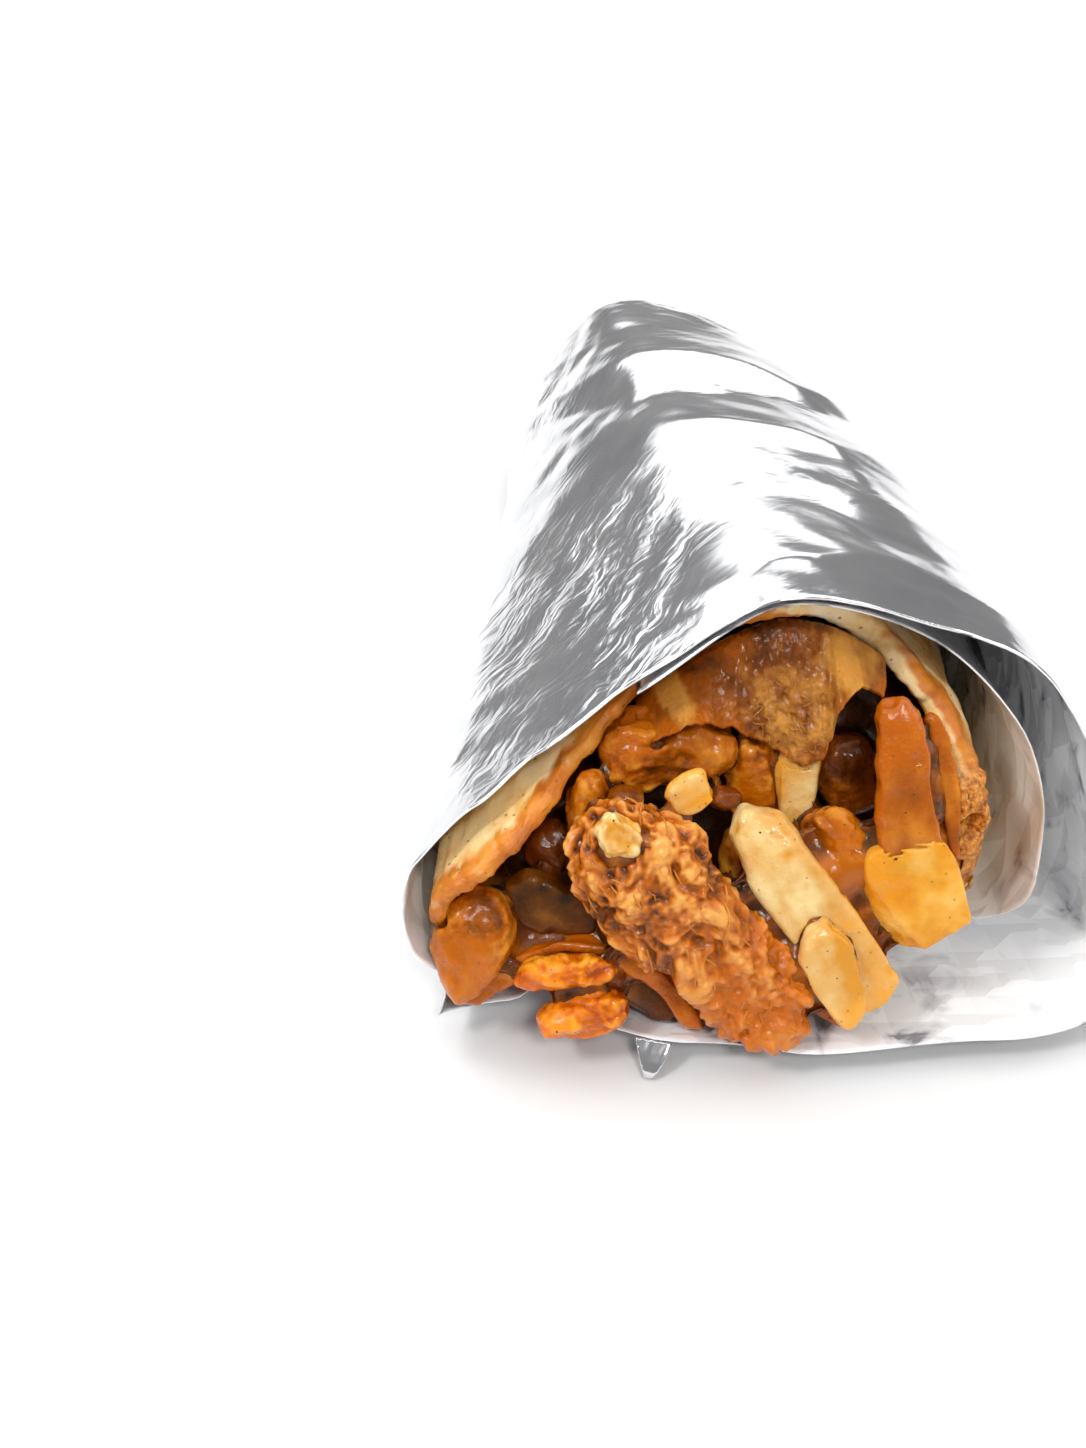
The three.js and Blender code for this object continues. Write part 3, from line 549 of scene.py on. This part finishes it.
def breadPoint(angle, y, grow):
    bumps = 0.5 * fuzz(angle * 0.045, y * 0.11, 3.7)
    bulge = 1.8 * bell(angle, 12, 26) * math.exp(-max(0, y - 8) / 22) - 0.8 * bell(angle, 46, 17)
    x, z = section(angle, y, -2.7 + bumps + bulge - endInset(y) + grow)
    floor = foilPoint((foil["start"] - angle + 360) % 360, y)[2] + 3.0 - grow
    return x, y, z if z > 20 else max(z, floor)


def breadSurface(u, v):
    # v runs along the outside to the front edge, round it, and back along the inside
    angle = lerp(bread["rim"][0][0], bread["rim"][-1][0], u)
    crumbly = smooth((angle - bread["tornFrom"]) / 8) * smooth((bread["tornTo"] - angle) / 8)
    ragged = 0.8 * fuzz(angle * 0.09, 1.3, 0) + 0.5 * fuzz(angle * 0.5, 2.3, 0)
    front = along(angle, bread["rim"]) + ragged
    if v <= bread["shut"] or v >= 1 - bread["shut"]:
        return *breadPoint(angle, bread["length"], 0), 0.0, 0.0
    share = (v - bread["shut"]) / (1 - 2 * bread["shut"])
    if share < 0.4:
        back, theta = 1 - share / 0.4, 0.0
    elif share > 0.6:
        back, theta = (share - 0.6) / 0.4, math.pi
    else:
        back, theta = 0.0, math.pi * (share - 0.4) / 0.2
    span = bread["length"] - front
    depth = span * back ** 2.2
    thinner = lerp(0.02, 0.4, smooth((angle - 60) / 35)) * math.exp(-depth / 6)
    half = bread["thickness"] / 2 * (0.96 - thinner + 0.12 * fuzz(angle * 0.06, 4.4, 1.0))
    half += 0.75 * crumbly * math.exp(-depth / 5)
    y = front + half + depth * (span - half) / span - half * math.sin(theta)
    grow = half * math.cos(theta)
    side = 1 if theta < 1.6 else -1
    rough = 0.16 * fuzz(angle * 0.9, y * 0.8, 7) + 0.3 * fuzz(angle * 0.3, y * 0.25, 9)
    rough += 0.8 * crumbly * math.exp(-depth / 4) * fuzz(angle * 0.55, y * 0.9, theta)
    torn = 0.35 * abs(fuzz(angle * 1.1, theta * 1.4, 3)) * math.sin(theta)
    slit = 3.4 * bell(angle, 9, 2.6) * math.sin(theta) ** 6
    flap = 0.7 * crumbly * fuzz(angle * 0.4, theta * 2, 5)
    inside = smooth((theta - 0.9) / 1.2)
    blush = 0.5 + 0.5 * fuzz(angle * 0.08, y * 0.12, 12)
    left = smooth((angle - 62) / 22)
    # right: the right-hand band takes the soaked colours as painted shade under the foil; the left edge is
    # really soaked
    right = smooth((62 - angle) / 24)
    edgeSoakAndShade = smooth(1.35 - depth / 4.2) * (0.5 + 0.5 * blush) * (1 - inside) * lerp(0.3, 1, max(left, right))
    soakedAndShaded = clamp(edgeSoakAndShade + smooth((theta - lerp(1.9, 0.9, left)) / 1.2) * (0.75 + 0.3 * blush))
    scorch = crumbly * math.exp(-depth / 5)
    soakedAndShaded = smooth((soakedAndShaded + 0.3 * fuzz(angle * 0.35, y * 0.5, 8) - 0.3) / 0.4)
    return *breadPoint(angle, y + torn + slit + flap, grow + rough * side), soakedAndShaded, scorch


breadMesh = gridMesh(bread["columns"], bread["rows"], breadSurface, ["soakedAndShaded", "torn"])
bmesh.ops.remove_doubles(breadMesh, verts=breadMesh.verts, dist=0.00004)
bmesh.ops.recalc_face_normals(breadMesh, faces=breadMesh.faces)
pita = linkPiece("pita", breadMesh)
finishPiece(pita, [pitaSkin], "bread", "pita_bread")
print("bread:", len(pita.data.polygons), "quads")

# The bread's inner layer, hanging under the arch
innerLayer = {
    "columns": 220,
    "rows": 120,
    "thickness": 1.7,
    "front": 18,                # distance of the hem from the mouth
    "angles": (118.0, 45.0),
    "hemShare": 0.12,           # share of the rows that goes round the hem
    # the ragged hem: mm across, height
    "hem": [(-18, 43), (-13, 43.4), (-7, 43.7), (-5, 43.4), (0, 41.1), (3.8, 39.2), (8.7, 36.9), (11, 36.7),
            (12.8, 37.8), (13.6, 41), (14.2, 45.6), (15, 47), (18.4, 48.7), (22, 49.7), (25, 51)],
    "crumbZone": (9.0, 43.0, 4.6),      # middle and radius of the open, fibrous crumb, mm
}


def innerSurface(u, v):
    # v runs down the near face, round the hem and up the far face
    half = innerLayer["thickness"] / 2
    face = (1 - innerLayer["hemShare"]) / 2
    if v < face:
        down, theta = v / face, 0.0
    elif v > 1 - face:
        down, theta = (1 - v) / face, math.pi
    else:
        down, theta = 1.0, math.pi * (v - face) / innerLayer["hemShare"]
    sx, sz = section(lerp(*innerLayer["angles"], u), 27, -5.4)
    x = sx + 3 * down * (0.5 - u)
    hem = min(along(x, innerLayer["hem"]) + 0.6 * fuzz(x * 0.6, 5.1, 0), sz - 1.2)
    z = lerp(sz + 1.0, hem + half, down)
    y = innerLayer["front"] + 9 * (1 - down) ** 1.2 + 1.6 * math.sin(x * 0.33 + 0.6) * down
    y += 1.2 * fuzz(x * 0.14, down * 1.7, 8.2)
    thick = half * (1 if 0.015 < v < 0.985 else 0)
    zoneX, zoneZ, zoneSize = innerLayer["crumbZone"]
    zone = smooth((2.1 - math.hypot(x - zoneX, (z - zoneZ) * 0.8) / zoneSize) / 1.6)
    crumb = 0.4 * fuzz(x * 0.5, z * 0.5, 2) + 0.25 * fuzz(x * 1.6, z * 1.6, 4)
    bubble = smooth(1 - 1.6 * noise.voronoi(Vector((x, z + 0.3 * x, 0)) * 0.75)[0][0])
    crumb += zone * (0.6 * abs(fuzz(x * 1.3, z * 1.3, 7)) + 0.35 * abs(fuzz(x * 3, z * 3, 9)) - 0.7 * bubble)
    creamRight = smooth(1.5 - math.hypot((x - 18) / 5.5, (z - 51) / 3.6))
    creamLeft = smooth(1.4 - math.hypot((x + 9) / 4, (z - 44.6) / 1.4))
    hemGlow = math.exp(-abs(z - hem) / 1.6)
    relief = 0.38 + 0.22 * fuzz(x * 0.35, z * 0.35, 21) + 0.3 * zone + 0.4 * creamRight + 0.7 * creamLeft
    # the last term darkens the upper left as painted shadow under the arch
    relief += 0.16 * fuzz(x * 1.1, z * 1.1, 31) - 0.25 * smooth((z - 48) / 4) * smooth((8 - x) / 8)
    sauced = 0.3 + 0.75 * hemGlow - 0.5 * creamRight - 0.6 * creamLeft - 0.4 * zone
    y -= (crumb if theta < 1.6 else 0) + thick * math.cos(theta)
    return x, y, z - half * math.sin(theta), clamp(relief), clamp(sauced)


layerMesh = gridMesh(innerLayer["columns"], innerLayer["rows"], innerSurface, ["relief", "sauced"])
bmesh.ops.remove_doubles(layerMesh, verts=layerMesh.verts, dist=0.00004)
bmesh.ops.holes_fill(layerMesh, edges=[edge for edge in layerMesh.edges if edge.is_boundary], sides=0)
bmesh.ops.recalc_face_normals(layerMesh, faces=layerMesh.faces)
innerPita = linkPiece("pita_inner", layerMesh)
finishPiece(innerPita, [saucyCrumb], "bread_crumb", "pita_inner_layer")
print("inner layer:", len(innerPita.data.polygons), "quads")

# Filling: each piece is meshed finely over its own solid and given the relief of its kind. grain is
# the direction of its fibres on the leaning heap, in degrees; size and tall are the relief's width and
# height and cell is the mesh size, in mm; sauceAt is the direction from the piece's middle in which the
# sauce thickens and sauced is how much it has; skin is its material and slot its name for painting.
fillingKeys = ("kind", "grain", "size", "tall", "cell", "sauceAt", "sauced", "skin", "slot")
fillings = {name: dict(zip(fillingKeys, values)) for name, values in {
    "chicken_main": ("meat", -58, 3.4, 1.8, 0.28, -70, 0.35, braisedChicken, "chicken"),
    "chicken_bit": ("meat", -25, 2.8, 0.8, 0.3, -90, 0.3, softOnion, "chicken"),
    "chicken_top": ("meat", 5, 5, 1.1, 0.36, 90, 0.5, sauceCoatedChicken, "chicken"),
    "chicken_right": ("meat", -60, 3.4, 1.1, 0.36, 0, 0.6, sauceCoatedChicken, "chicken"),
    "chicken_low_right": ("meat", -51, 3, 0.9, 0.36, 0, 0.55, sauceCoatedChicken, "chicken"),
    "chicken_small": ("meat", -10, 2.4, 0.6, 0.33, 0, 0.5, darkChicken, "chicken"),
    "chicken_middle": ("meat", -80, 3.4, 0.8, 0.38, -90, 0.5, sauceCoatedChicken, "chicken"),
    "chicken_back": ("meat", -84, 3.4, 0.8, 0.38, -90, 0.5, sauceCoatedChicken, "chicken"),
    "chicken_back_right": ("meat", -66, 5, 0.7, 0.42, 0, 0.4, darkChicken, "chicken"),
    "chicken_left": ("meat", -94, 3, 0.9, 0.38, 180, 0.4, sauceCoatedChicken, "chicken"),
    "chicken_back_left": ("meat", -54, 4, 0.7, 0.42, 180, 0.5, darkChicken, "chicken"),
    "chicken_lobe": ("meat", -101, 6, 0.6, 0.38, -120, 0.65, sauceCoatedChicken, "chicken"),
    "onion_center": ("onion", -54, 1.6, 0.22, 0.34, -25, 0.28, softOnion, "onion"),
    "onion_front": ("onion", -70, 1.5, 0.2, 0.3, -80, 0.22, softOnion, "onion"),
    "onion_lower": ("onion", -30, 1.8, 0.3, 0.32, -90, 0.45, sauceOnion, "onion_sauced"),
    "onion_upper": ("onion", -92, 1.5, 0.2, 0.32, 90, 0.3, softOnion, "onion"),
    "onion_pale_bit": ("onion", 28, 1.3, 0.3, 0.28, 70, 0.5, softOnion, "onion"),
    "onion_tall": ("onion", -81, 1.8, 0.65, 0.33, 90, 0.5, sauceOnion, "onion_sauced"),
    "onion_inner": ("onion", -79, 1.5, 0.35, 0.28, 90, 0.4, sauceOnion, "onion_sauced"),
    "onion_arch": ("onion", -6, 1.4, 0.35, 0.3, -90, 0.6, sauceOnion, "onion_sauced"),
    "onion_brown": ("onion", -23, 1.8, 0.4, 0.33, -90, 0.4, brownOnion, "onion_browned"),
    "onion_low_dark": ("onion", -46, 1.8, 0.4, 0.33, -90, 0.5, brownOnion, "onion_browned"),
    "potato_right": ("potato", -62, 4.5, 0.35, 0.36, 120, 0.4, friedPotato, "potato"),
    "vegetable_orange_upper": ("meat", 6, 2.6, 0.8, 0.32, -90, 0.3, orangeVegetable, "vegetable"),
    "vegetable_orange_lower": ("meat", 13, 2.8, 0.9, 0.32, -90, 0.3, orangeVegetable, "vegetable"),
}.items()}
# how often each kind is smoothed, before and after its relief
softening = {"meat": (6, 3), "onion": (4, 1), "potato": (4, 1)}
# flat cuts: the way each faces on the heap in degrees from its grain, its tilt towards the viewer, and
# how far out it lies as a share of the piece
flatCuts = {
    "meat": [(90, 40, 0.78), (-90, 50, 0.74), (10, 80, 0.74)],
    "onion": [(0, 90, 0.5), (90, 22, 0.86), (-90, 22, 0.86)],
    "potato": [(0, 86, 0.5), (-75, 42, 0.74), (80, 20, 0.9), (5, 8, 0.92), (-30, 5, 0.9), (178, 20, 0.93)],
}
ownCuts = {
    "onion_center": [(0, 84, 0.5), (-90, 20, 0.93), (90, 30, 0.92), (140, 8, 0.9), (-152, 8, 0.92),
                     (-14, 12, 0.94), (28, 8, 0.94)],
    "onion_front": [(0, 84, 0.42), (-68, 12, 0.84), (88, 15, 0.84), (-155, 5, 0.86), (30, 5, 0.92)],
    "chicken_lobe": [(0, 80, 0.88)],
    "onion_tall": [(0, 84, 0.5), (90, 22, 0.9), (-90, 22, 0.9), (0, 0, 0.76)],
    "onion_pale_bit": [(0, 84, 0.3), (0, 5, 0.55), (180, 5, 0.78), (70, 10, 0.95)],
    "chicken_bit": [(0, 78, 0.55), (80, 30, 0.7), (-60, 30, 0.72), (-140, 30, 0.74), (20, 20, 0.76)],
}
# the leaning front of the filling: how far it leans back for each mm up, and where it meets the ground
heap = {"lean": 0.52, "foot": -5}
leanLength = math.hypot(1, heap["lean"])
heapAcross = Vector((1, 0, 0))
heapUp = Vector((0, heap["lean"] / leanLength, 1 / leanLength))
heapOut = Vector((0, -1 / leanLength, heap["lean"] / leanLength))


def heapSpot(across, up, out):
    return place((across, heap["foot"] + (up * heap["lean"] - out) / leanLength,
                  (up + out * heap["lean"]) / leanLength))


def heapWay(degrees):
    # a direction along the heap's face, counted from across towards up
    turn = math.radians(degrees)
    return math.cos(turn) * heapAcross + math.sin(turn) * heapUp


def stretched(p, long, short):
    return Vector((p.x / long, p.y / short, p.z / short))


def shredRelief(p, size, seed):
    # torn meat: uneven lumps, strands that run with the grain, and pits
    shift = Vector((seed, 2 * seed, -seed))
    q = p + 2.2 * noise.noise_vector(p / 7 + shift)
    lump = noise.noise(stretched(q, 1.5 * size, size) + shift)
    strand = 1 - 2.2 * abs(noise.noise(stretched(q, 2.2 * size, 0.42 * size) - shift))
    pit = smooth((0.42 - noise.voronoi(q / (0.85 * size) + shift)[0][0]) / 0.3)
    fine = noise.noise(q / 0.7 + shift)
    patch = smooth(0.5 + 1.5 * noise.noise(p / 8 - shift))
    knob = abs(noise.noise(stretched(q, 0.8 * size, 0.6 * size) + 2 * shift))
    nub = abs(noise.noise(q / (0.36 * size) + 3 * shift))
    coarse = 0.75 * lump + 0.65 * knob + 0.45 * nub
    return coarse + (0.08 + 0.2 * patch) * strand - 0.5 * pit * (1 - patch) + 0.26 * fine - 0.3


def sliceRelief(p, size, seed):
    # a cut slice: long faint veins, a slow buckle and a few small dents
    veins = fuzz(p.x / (8 * size), p.y / size, p.z / (1.4 * size) + seed)
    buckle = fuzz(p.x / 8 + seed, p.y / 5, p.z / 5)
    dent = smooth((0.3 - noise.voronoi(p / 4.5 + Vector((seed, 0, seed)))[0][0]) / 0.3)
    nick = fuzz(p.x / 2.2 + seed, p.y / 2.2, p.z / 2.2)
    return 0.6 * veins + 1.3 * buckle - 1.2 * dent + 0.35 * nick


def wedgeRelief(p, size, seed):
    # a fried side: slow swells and small blisters
    swell = fuzz(p.x / size, p.y / size, p.z / size + seed)
    return swell + 0.35 * fuzz(p.x / 1.4, p.y / 1.4, p.z / 1.4 + seed)


reliefs = {"meat": shredRelief, "onion": sliceRelief, "potato": wedgeRelief}


def nodeCopy(name):
    # the node's own solid, with its loose triangles merged
    bm = bmesh.new()
    bm.from_mesh(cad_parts[name].data)
    bmesh.ops.remove_doubles(bm, verts=bm.verts, dist=1e-6)
    return bm


def soften(bm, rounds):
    for _ in range(rounds):
        bmesh.ops.smooth_vert(bm, verts=bm.verts, factor=0.5, use_axis_x=True, use_axis_y=True,
                              use_axis_z=True)


def voxelPiece(name, bm, cell, rounds):
    # a fine even mesh over the given shape, with its edges softened
    piece = linkPiece(name, bm)
    remesh = piece.modifiers.new("fineMesh", "REMESH")
    remesh.mode = "VOXEL"
    remesh.voxel_size = cell / 1000
    bakeModifiers(piece)
    fine = bmesh.new()
    fine.from_mesh(piece.data)
    soften(fine, rounds)
    fine.normal_update()
    return piece, fine


def reshape(piece, bm, change, rounding=0):
    # change(place in metres, normal) gives the outward move in mm, the relief tone (on the food pieces
    # painted crease shade and highlight) and the sauce there
    relief = bm.verts.layers.float.new("relief")
    sauced = bm.verts.layers.float.new("sauced")
    moves = []
    for vert in bm.verts:
        height, tone, sauce = change(vert.co, vert.normal)
        vert[relief] = clamp(tone)
        vert[sauced] = clamp(sauce)
        moves.append(vert.normal * height / 1000)
    for vert, move in zip(bm.verts, moves):
        vert.co += move
    soften(bm, rounding)
    bm.to_mesh(piece.data)
    bm.free()


def squareOff(name, bm):
    # presses whatever stands beyond a flat cut back to it
    filling = fillings[name]
    middle = sum((vert.co for vert in bm.verts), Vector()) / len(bm.verts)
    for way, tilt, share in ownCuts.get(name, flatCuts[filling["kind"]]):
        raised = math.radians(tilt)
        facing = math.cos(raised) * heapWay(filling["grain"] + way) + math.sin(raised) * heapOut
        heights = [(vert.co - middle).dot(facing) for vert in bm.verts]
        limit = share * max(heights)
        for vert, height in zip(bm.verts, heights):
            vert.co -= facing * 0.92 * softPositive((height - limit) * 1000, 0.1) / 1000
    bm.normal_update()


def foodChange(name, seed):
    # how the piece's surface moves and is toned: its relief lies along the grain, from its middle; the tone
    # darkens low places as painted shade and lightens raised ones, partly as painted highlight
    filling = fillings[name]
    low, high = [Vector(corner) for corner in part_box(name)]
    middle, reach = (low + high) / 2, (high - low).length * 500
    alongGrain, sauceWay = heapWay(filling["grain"]), heapWay(filling["sauceAt"])
    acrossGrain = heapOut.cross(alongGrain)
    relief = reliefs[filling["kind"]]

    def change(co, normal):
        away = (co - middle) * 1000
        local = Vector((away.dot(alongGrain), away.dot(acrossGrain), away.dot(heapOut)))
        height = relief(local, filling["size"], seed)
        edge = 1 - abs(normal.dot(heapOut)) if filling["kind"] == "onion" else 0.25
        sauce = filling["sauced"] + 0.55 * away.dot(sauceWay) / reach + 0.6 * (edge - 0.25) - 0.15 * height
        # tone: low places darkened as painted shade, raised ones paler, partly painted highlight
        shadeAndHighlightContrast = 0.8 if filling["kind"] == "meat" else 0.4
        fuller = 0.05 if filling["kind"] == "meat" else 0.22
        return fuller + filling["tall"] * height * (0.5 + 2 * edge), 0.5 + shadeAndHighlightContrast * height, sauce

    return change


for index, (name, filling) in enumerate(fillings.items()):
    before, after = softening[filling["kind"]]
    piece, fineMesh = voxelPiece(name + "_look", nodeCopy(name), filling["cell"], before)
    squareOff(name, fineMesh)
    reshape(piece, fineMesh, foodChange(name, index * 3.7 + 1), after)
    finishPiece(piece, [filling["skin"]], filling["slot"], name)

core, coreMesh = voxelPiece("filling_core_look", nodeCopy("filling_core"), 1.1, 4)
reshape(core, coreMesh, lambda co, normal: (0.5 * fuzz(*(co * 250)), 0.4 + fuzz(*(co * 180)), 0.4))
finishPiece(core, [coreInPaintedShade], "filling", "filling_core")

# Sauce that clings in the gaps between the pieces: their joined shapes are swollen until they meet,
# then shrunk again by a little more, which leaves the sauce only where pieces lie close together.
sauceBody = {
    "swell": 1.1,
    "cell": 0.55,
    "rounds": 8,
    "shrink": 2.0,
    "films": [(16, 29, 3, 3.4), (-6, 41, 1, 3)],    # thick places: across, up, out, radius
}
joined = bmesh.new()
for name in fillings:
    joined.from_mesh(bpy.data.objects[name + "_look"].data)
sauce = linkPiece("sauce_body", joined)
swell = sauce.modifiers.new("swell", "DISPLACE")
swell.strength = sauceBody["swell"] / 1000
swell.mid_level = 0
bakeModifiers(sauce)
joined = bmesh.new()
joined.from_mesh(sauce.data)
bpy.data.objects.remove(sauce)
sauce, sauceMesh = voxelPiece("sauce_body", joined, sauceBody["cell"], sauceBody["rounds"])
films = [(heapSpot(*spot), radius) for *spot, radius in sauceBody["films"]]


def sauceChange(co, normal):
    film = sum(math.exp(-((co - spot).length * 1000 / radius) ** 2) for spot, radius in films)
    height = 0.35 * fuzz(*(co * 300)) + 0.15 * fuzz(*(co * 900)) - sauceBody["shrink"] + 1.7 * min(1, film)
    return height, 0.4 + 0.5 * fuzz(*(co * 420)) + 0.3 * film, 0.15 + 0.25 * fuzz(*(co * 150)) + 0.9 * film


reshape(sauce, sauceMesh, sauceChange)
finishPiece(sauce, [gapSauceAndShade], "filling")
print("sauce:", len(sauce.data.polygons), "quads")


# Small loose things: strands of crumb and of meat, and spice
def addStrand(bm, path, up, radius, columns=5, rows=10):
    # a thin closed thread along path(t) in metres, pinched shut at both ends
    made = bmesh.ops.create_grid(bm, x_segments=columns, y_segments=rows, size=0.5)["verts"]
    for vert in made:
        turn, t = 2 * math.pi * (vert.co.x + 0.5), vert.co.y + 0.5
        middle = path(t)
        ahead = (path(t + 0.02) - path(t - 0.02)).normalized()
        side = ahead.cross(up).normalized()
        thin = radius / 1000 * math.sqrt(max(0.0, 1 - (2 * t - 1) ** 6))
        vert.co = middle + thin * (math.cos(turn) * side + math.sin(turn) * ahead.cross(side))
    bmesh.ops.remove_doubles(bm, verts=made, dist=1e-7)


def toneThreads(bm, relief):
    bmesh.ops.recalc_face_normals(bm, faces=bm.faces)
    tone = bm.verts.layers.float.new("relief")
    for vert in bm.verts:
        vert[tone] = relief


def surfaceSpots(names, count, seed, keep):
    # random places on the shown side of the named pieces, as (place, normal)
    chooser = random.Random(seed)
    spots = []
    for name in names:
        mesh = bpy.data.objects[name].data
        total = len(mesh.polygons)
        tries = 0
        wanted = len(spots) + count
        while len(spots) < wanted and tries < 60 * count:
            tries += 1
            face = mesh.polygons[chooser.randrange(total)]
            if face.normal.dot(heapOut) > 0.55 and keep(face.center):
                spots.append((face.center.copy(), face.normal.copy()))
    return spots


crumbStrands = {"count": 60, "radius": 0.07, "curl": (0.3, 0.9), "swing": (1.6, 4.2), "reach": 5.6}
chooser = random.Random(5)
threads = bmesh.new()
zoneX, zoneZ, _ = innerLayer["crumbZone"]
zoneMiddle = place((zoneX, innerLayer["front"], zoneZ))
for spot, normal in surfaceSpots(["pita_inner"], crumbStrands["count"], 11,
                                 lambda co: math.hypot(co.x - zoneMiddle.x, co.z - zoneMiddle.z)
                                 < crumbStrands["reach"] / 1000):
    side = normal.orthogonal().normalized()
    side = Matrix.Rotation(chooser.uniform(0, 6.3), 3, normal) @ side
    bow = chooser.uniform(*crumbStrands["curl"]) / 1000
    swing = chooser.uniform(*crumbStrands["swing"])
    addStrand(threads, lambda t: spot + bow * (math.sin(swing * (t - 0.5)) * side
                                               + 0.55 * math.cos(swing * (t - 0.5)) * normal),
              side.cross(normal), crumbStrands["radius"] * chooser.uniform(0.7, 1.2))
toneThreads(threads, 0.75)
crumbThreads = linkPiece("crumb_strands", threads)
finishPiece(crumbThreads, [saucyCrumb], "bread_crumb")

meatStrands = {"count": 45, "radius": 0.14, "length": (2.5, 6.0), "rise": (-0.1, 0.25), "wave": (-0.6, 0.6)}
fibers = bmesh.new()
grainWay = heapWay(fillings["chicken_main"]["grain"])
for spot, normal in surfaceSpots(["chicken_main_look"], meatStrands["count"], 23, lambda co: True):
    way = Matrix.Rotation(chooser.gauss(0, 0.5), 3, heapOut) @ grainWay
    way = (way - way.dot(normal) * normal).normalized()
    span = chooser.uniform(*meatStrands["length"]) / 1000
    rise = chooser.uniform(*meatStrands["rise"]) / 1000
    wave = chooser.uniform(*meatStrands["wave"]) / 1000
    crossWay = normal.cross(way)
    addStrand(fibers, lambda t: spot + span * (t - 0.5) * way + (rise - 0.0012 * (2 * t - 1) ** 2) * normal
              + wave * math.sin(3 * t) * crossWay, normal, meatStrands["radius"] * chooser.uniform(0.6, 1.4))
toneThreads(fibers, 0.62)
meatFibers = linkPiece("chicken_strands", fibers)
finishPiece(meatFibers, [braisedChicken], "chicken")

spiceFlakes = {"count": 4, "size": (0.08, 0.2)}
flakes = bmesh.new()
looks = [name + "_look" for name in fillings] + ["pita_inner"]
for spot, normal in surfaceSpots(looks, spiceFlakes["count"], 31, lambda co: True):
    flake = bmesh.ops.create_icosphere(flakes, subdivisions=1, radius=1)["verts"]
    size = chooser.uniform(*spiceFlakes["size"]) / 1000
    turned = normal.to_track_quat("Z", "Y").to_matrix() @ Matrix.Rotation(chooser.uniform(0, 6.3), 3, "Z")
    shape = turned @ Matrix.Diagonal((size, size * chooser.uniform(0.4, 0.9), size * 0.3))
    for vert in flake:
        vert.co = spot + shape @ (vert.co * (1 + 0.35 * fuzz(*(vert.co * 2 + spot * 900))))
spice = linkPiece("spice_flakes", flakes)
spiceSkin = newMaterial("groundSpice")
spiceShader = addNode(spiceSkin, "ShaderNodeBsdfPrincipled",
                      {"Base Color": hexColor("#4A2208"), "Roughness": 0.55})
addNode(spiceSkin, "ShaderNodeOutputMaterial", links={"Surface": spiceShader.outputs[0]})
finishPiece(spice, [spiceSkin], "filling")
print("loose things:", sum(len(piece.data.polygons) for piece in (crumbThreads, meatFibers, spice)), "faces")

# Foil tab folded to the ground
tab, tabMesh = voxelPiece("foil_tab_look", nodeCopy("foil_tab"), 0.2, 2)
crush, across, ahead = [tabMesh.verts.layers.float.new(layer) for layer in ("crush", "across", "ahead")]
for vert in tabMesh.verts:
    vert[crush], vert[across], vert[ahead] = 0.4, vert.co.x, vert.co.z
tabMesh.to_mesh(tab.data)
tabMesh.free()
finishPiece(tab, [foilSkin], "foil", "foil_tab")

# Floor, light and camera
studio = {
    "floorSize": 12.0,
    "floorColor": "#DFDFDF",
    "worldStrength": 0.28,
    "view": dict(location=(-0.03444, -0.22828, 0.14352), tilt=55.0, lens=32.32),
    "lamps": {
        # place, aim, width, depth, watts
        "ceiling": ((0, 0.9, 2.4), (0, 0.9, 0), 4.6, 3.6, 72.0),
        "back": ((-0.75, 1.7, 0.9), (0, 0, 0.05), 4.3, 0.8, 15.0),
        "right": ((1.5, 0.1, 0.9), (0, 0, 0.04), 1.4, 0.7, 7.0),
        "front": ((0.3, -1.4, 1.6), (0, -0.05, 0.03), 0.4, 0.32, 14.0),
        "side": ((-0.75, -0.5, 1.0), (0, -0.08, 0.03), 0.22, 0.22, 5.5),
        "window": ((-0.8, 0.55, 1.1), (0, 0, 0.03), 0.6, 0.6, 6.0),
    },
}
floorMesh = bmesh.new()
bmesh.ops.create_grid(floorMesh, x_segments=1, y_segments=1, size=studio["floorSize"] / 2)
floor = linkPiece("studio_floor", floorMesh)
floorPaint = newMaterial("paleStudioFloor")
floorShader = addNode(floorPaint, "ShaderNodeBsdfPrincipled",
                      {"Base Color": hexColor(studio["floorColor"]), "Roughness": 0.85})
addNode(floorPaint, "ShaderNodeOutputMaterial", links={"Surface": floorShader.outputs[0]})
floor.data.materials.append(floorPaint)

world = bpy.data.worlds.new("softStudio")
world.use_nodes = True
background = world.node_tree.nodes["Background"]
background.inputs["Color"].default_value = (1, 1, 1, 1)
background.inputs["Strength"].default_value = studio["worldStrength"]
bpy.context.scene.world = world

for name, (spot, aim, width, depth, watts) in studio["lamps"].items():
    light = bpy.data.lights.new(name + "_softbox", "AREA")
    light.shape = "RECTANGLE"
    light.size, light.size_y = width, depth
    light.energy = watts
    lamp = bpy.data.objects.new(name + "_softbox", light)
    lamp.location = spot
    lamp.rotation_euler = (Vector(aim) - Vector(spot)).to_track_quat("-Z", "Y").to_euler()
    bpy.context.collection.objects.link(lamp)

camera = bpy.data.cameras.new("photoView")
camera.lens = studio["view"]["lens"]
camera.sensor_width = 36.0
camera.sensor_fit = "AUTO"
camera.clip_start = 0.01
cameraObject = bpy.data.objects.new("photoView", camera)
cameraObject.location = studio["view"]["location"]
cameraObject.rotation_euler = (math.radians(studio["view"]["tilt"]), 0, 0)
bpy.context.collection.objects.link(cameraObject)
bpy.context.scene.camera = cameraObject
bpy.context.scene.view_settings.view_transform = "Standard"

bpy.context.view_layer.update()
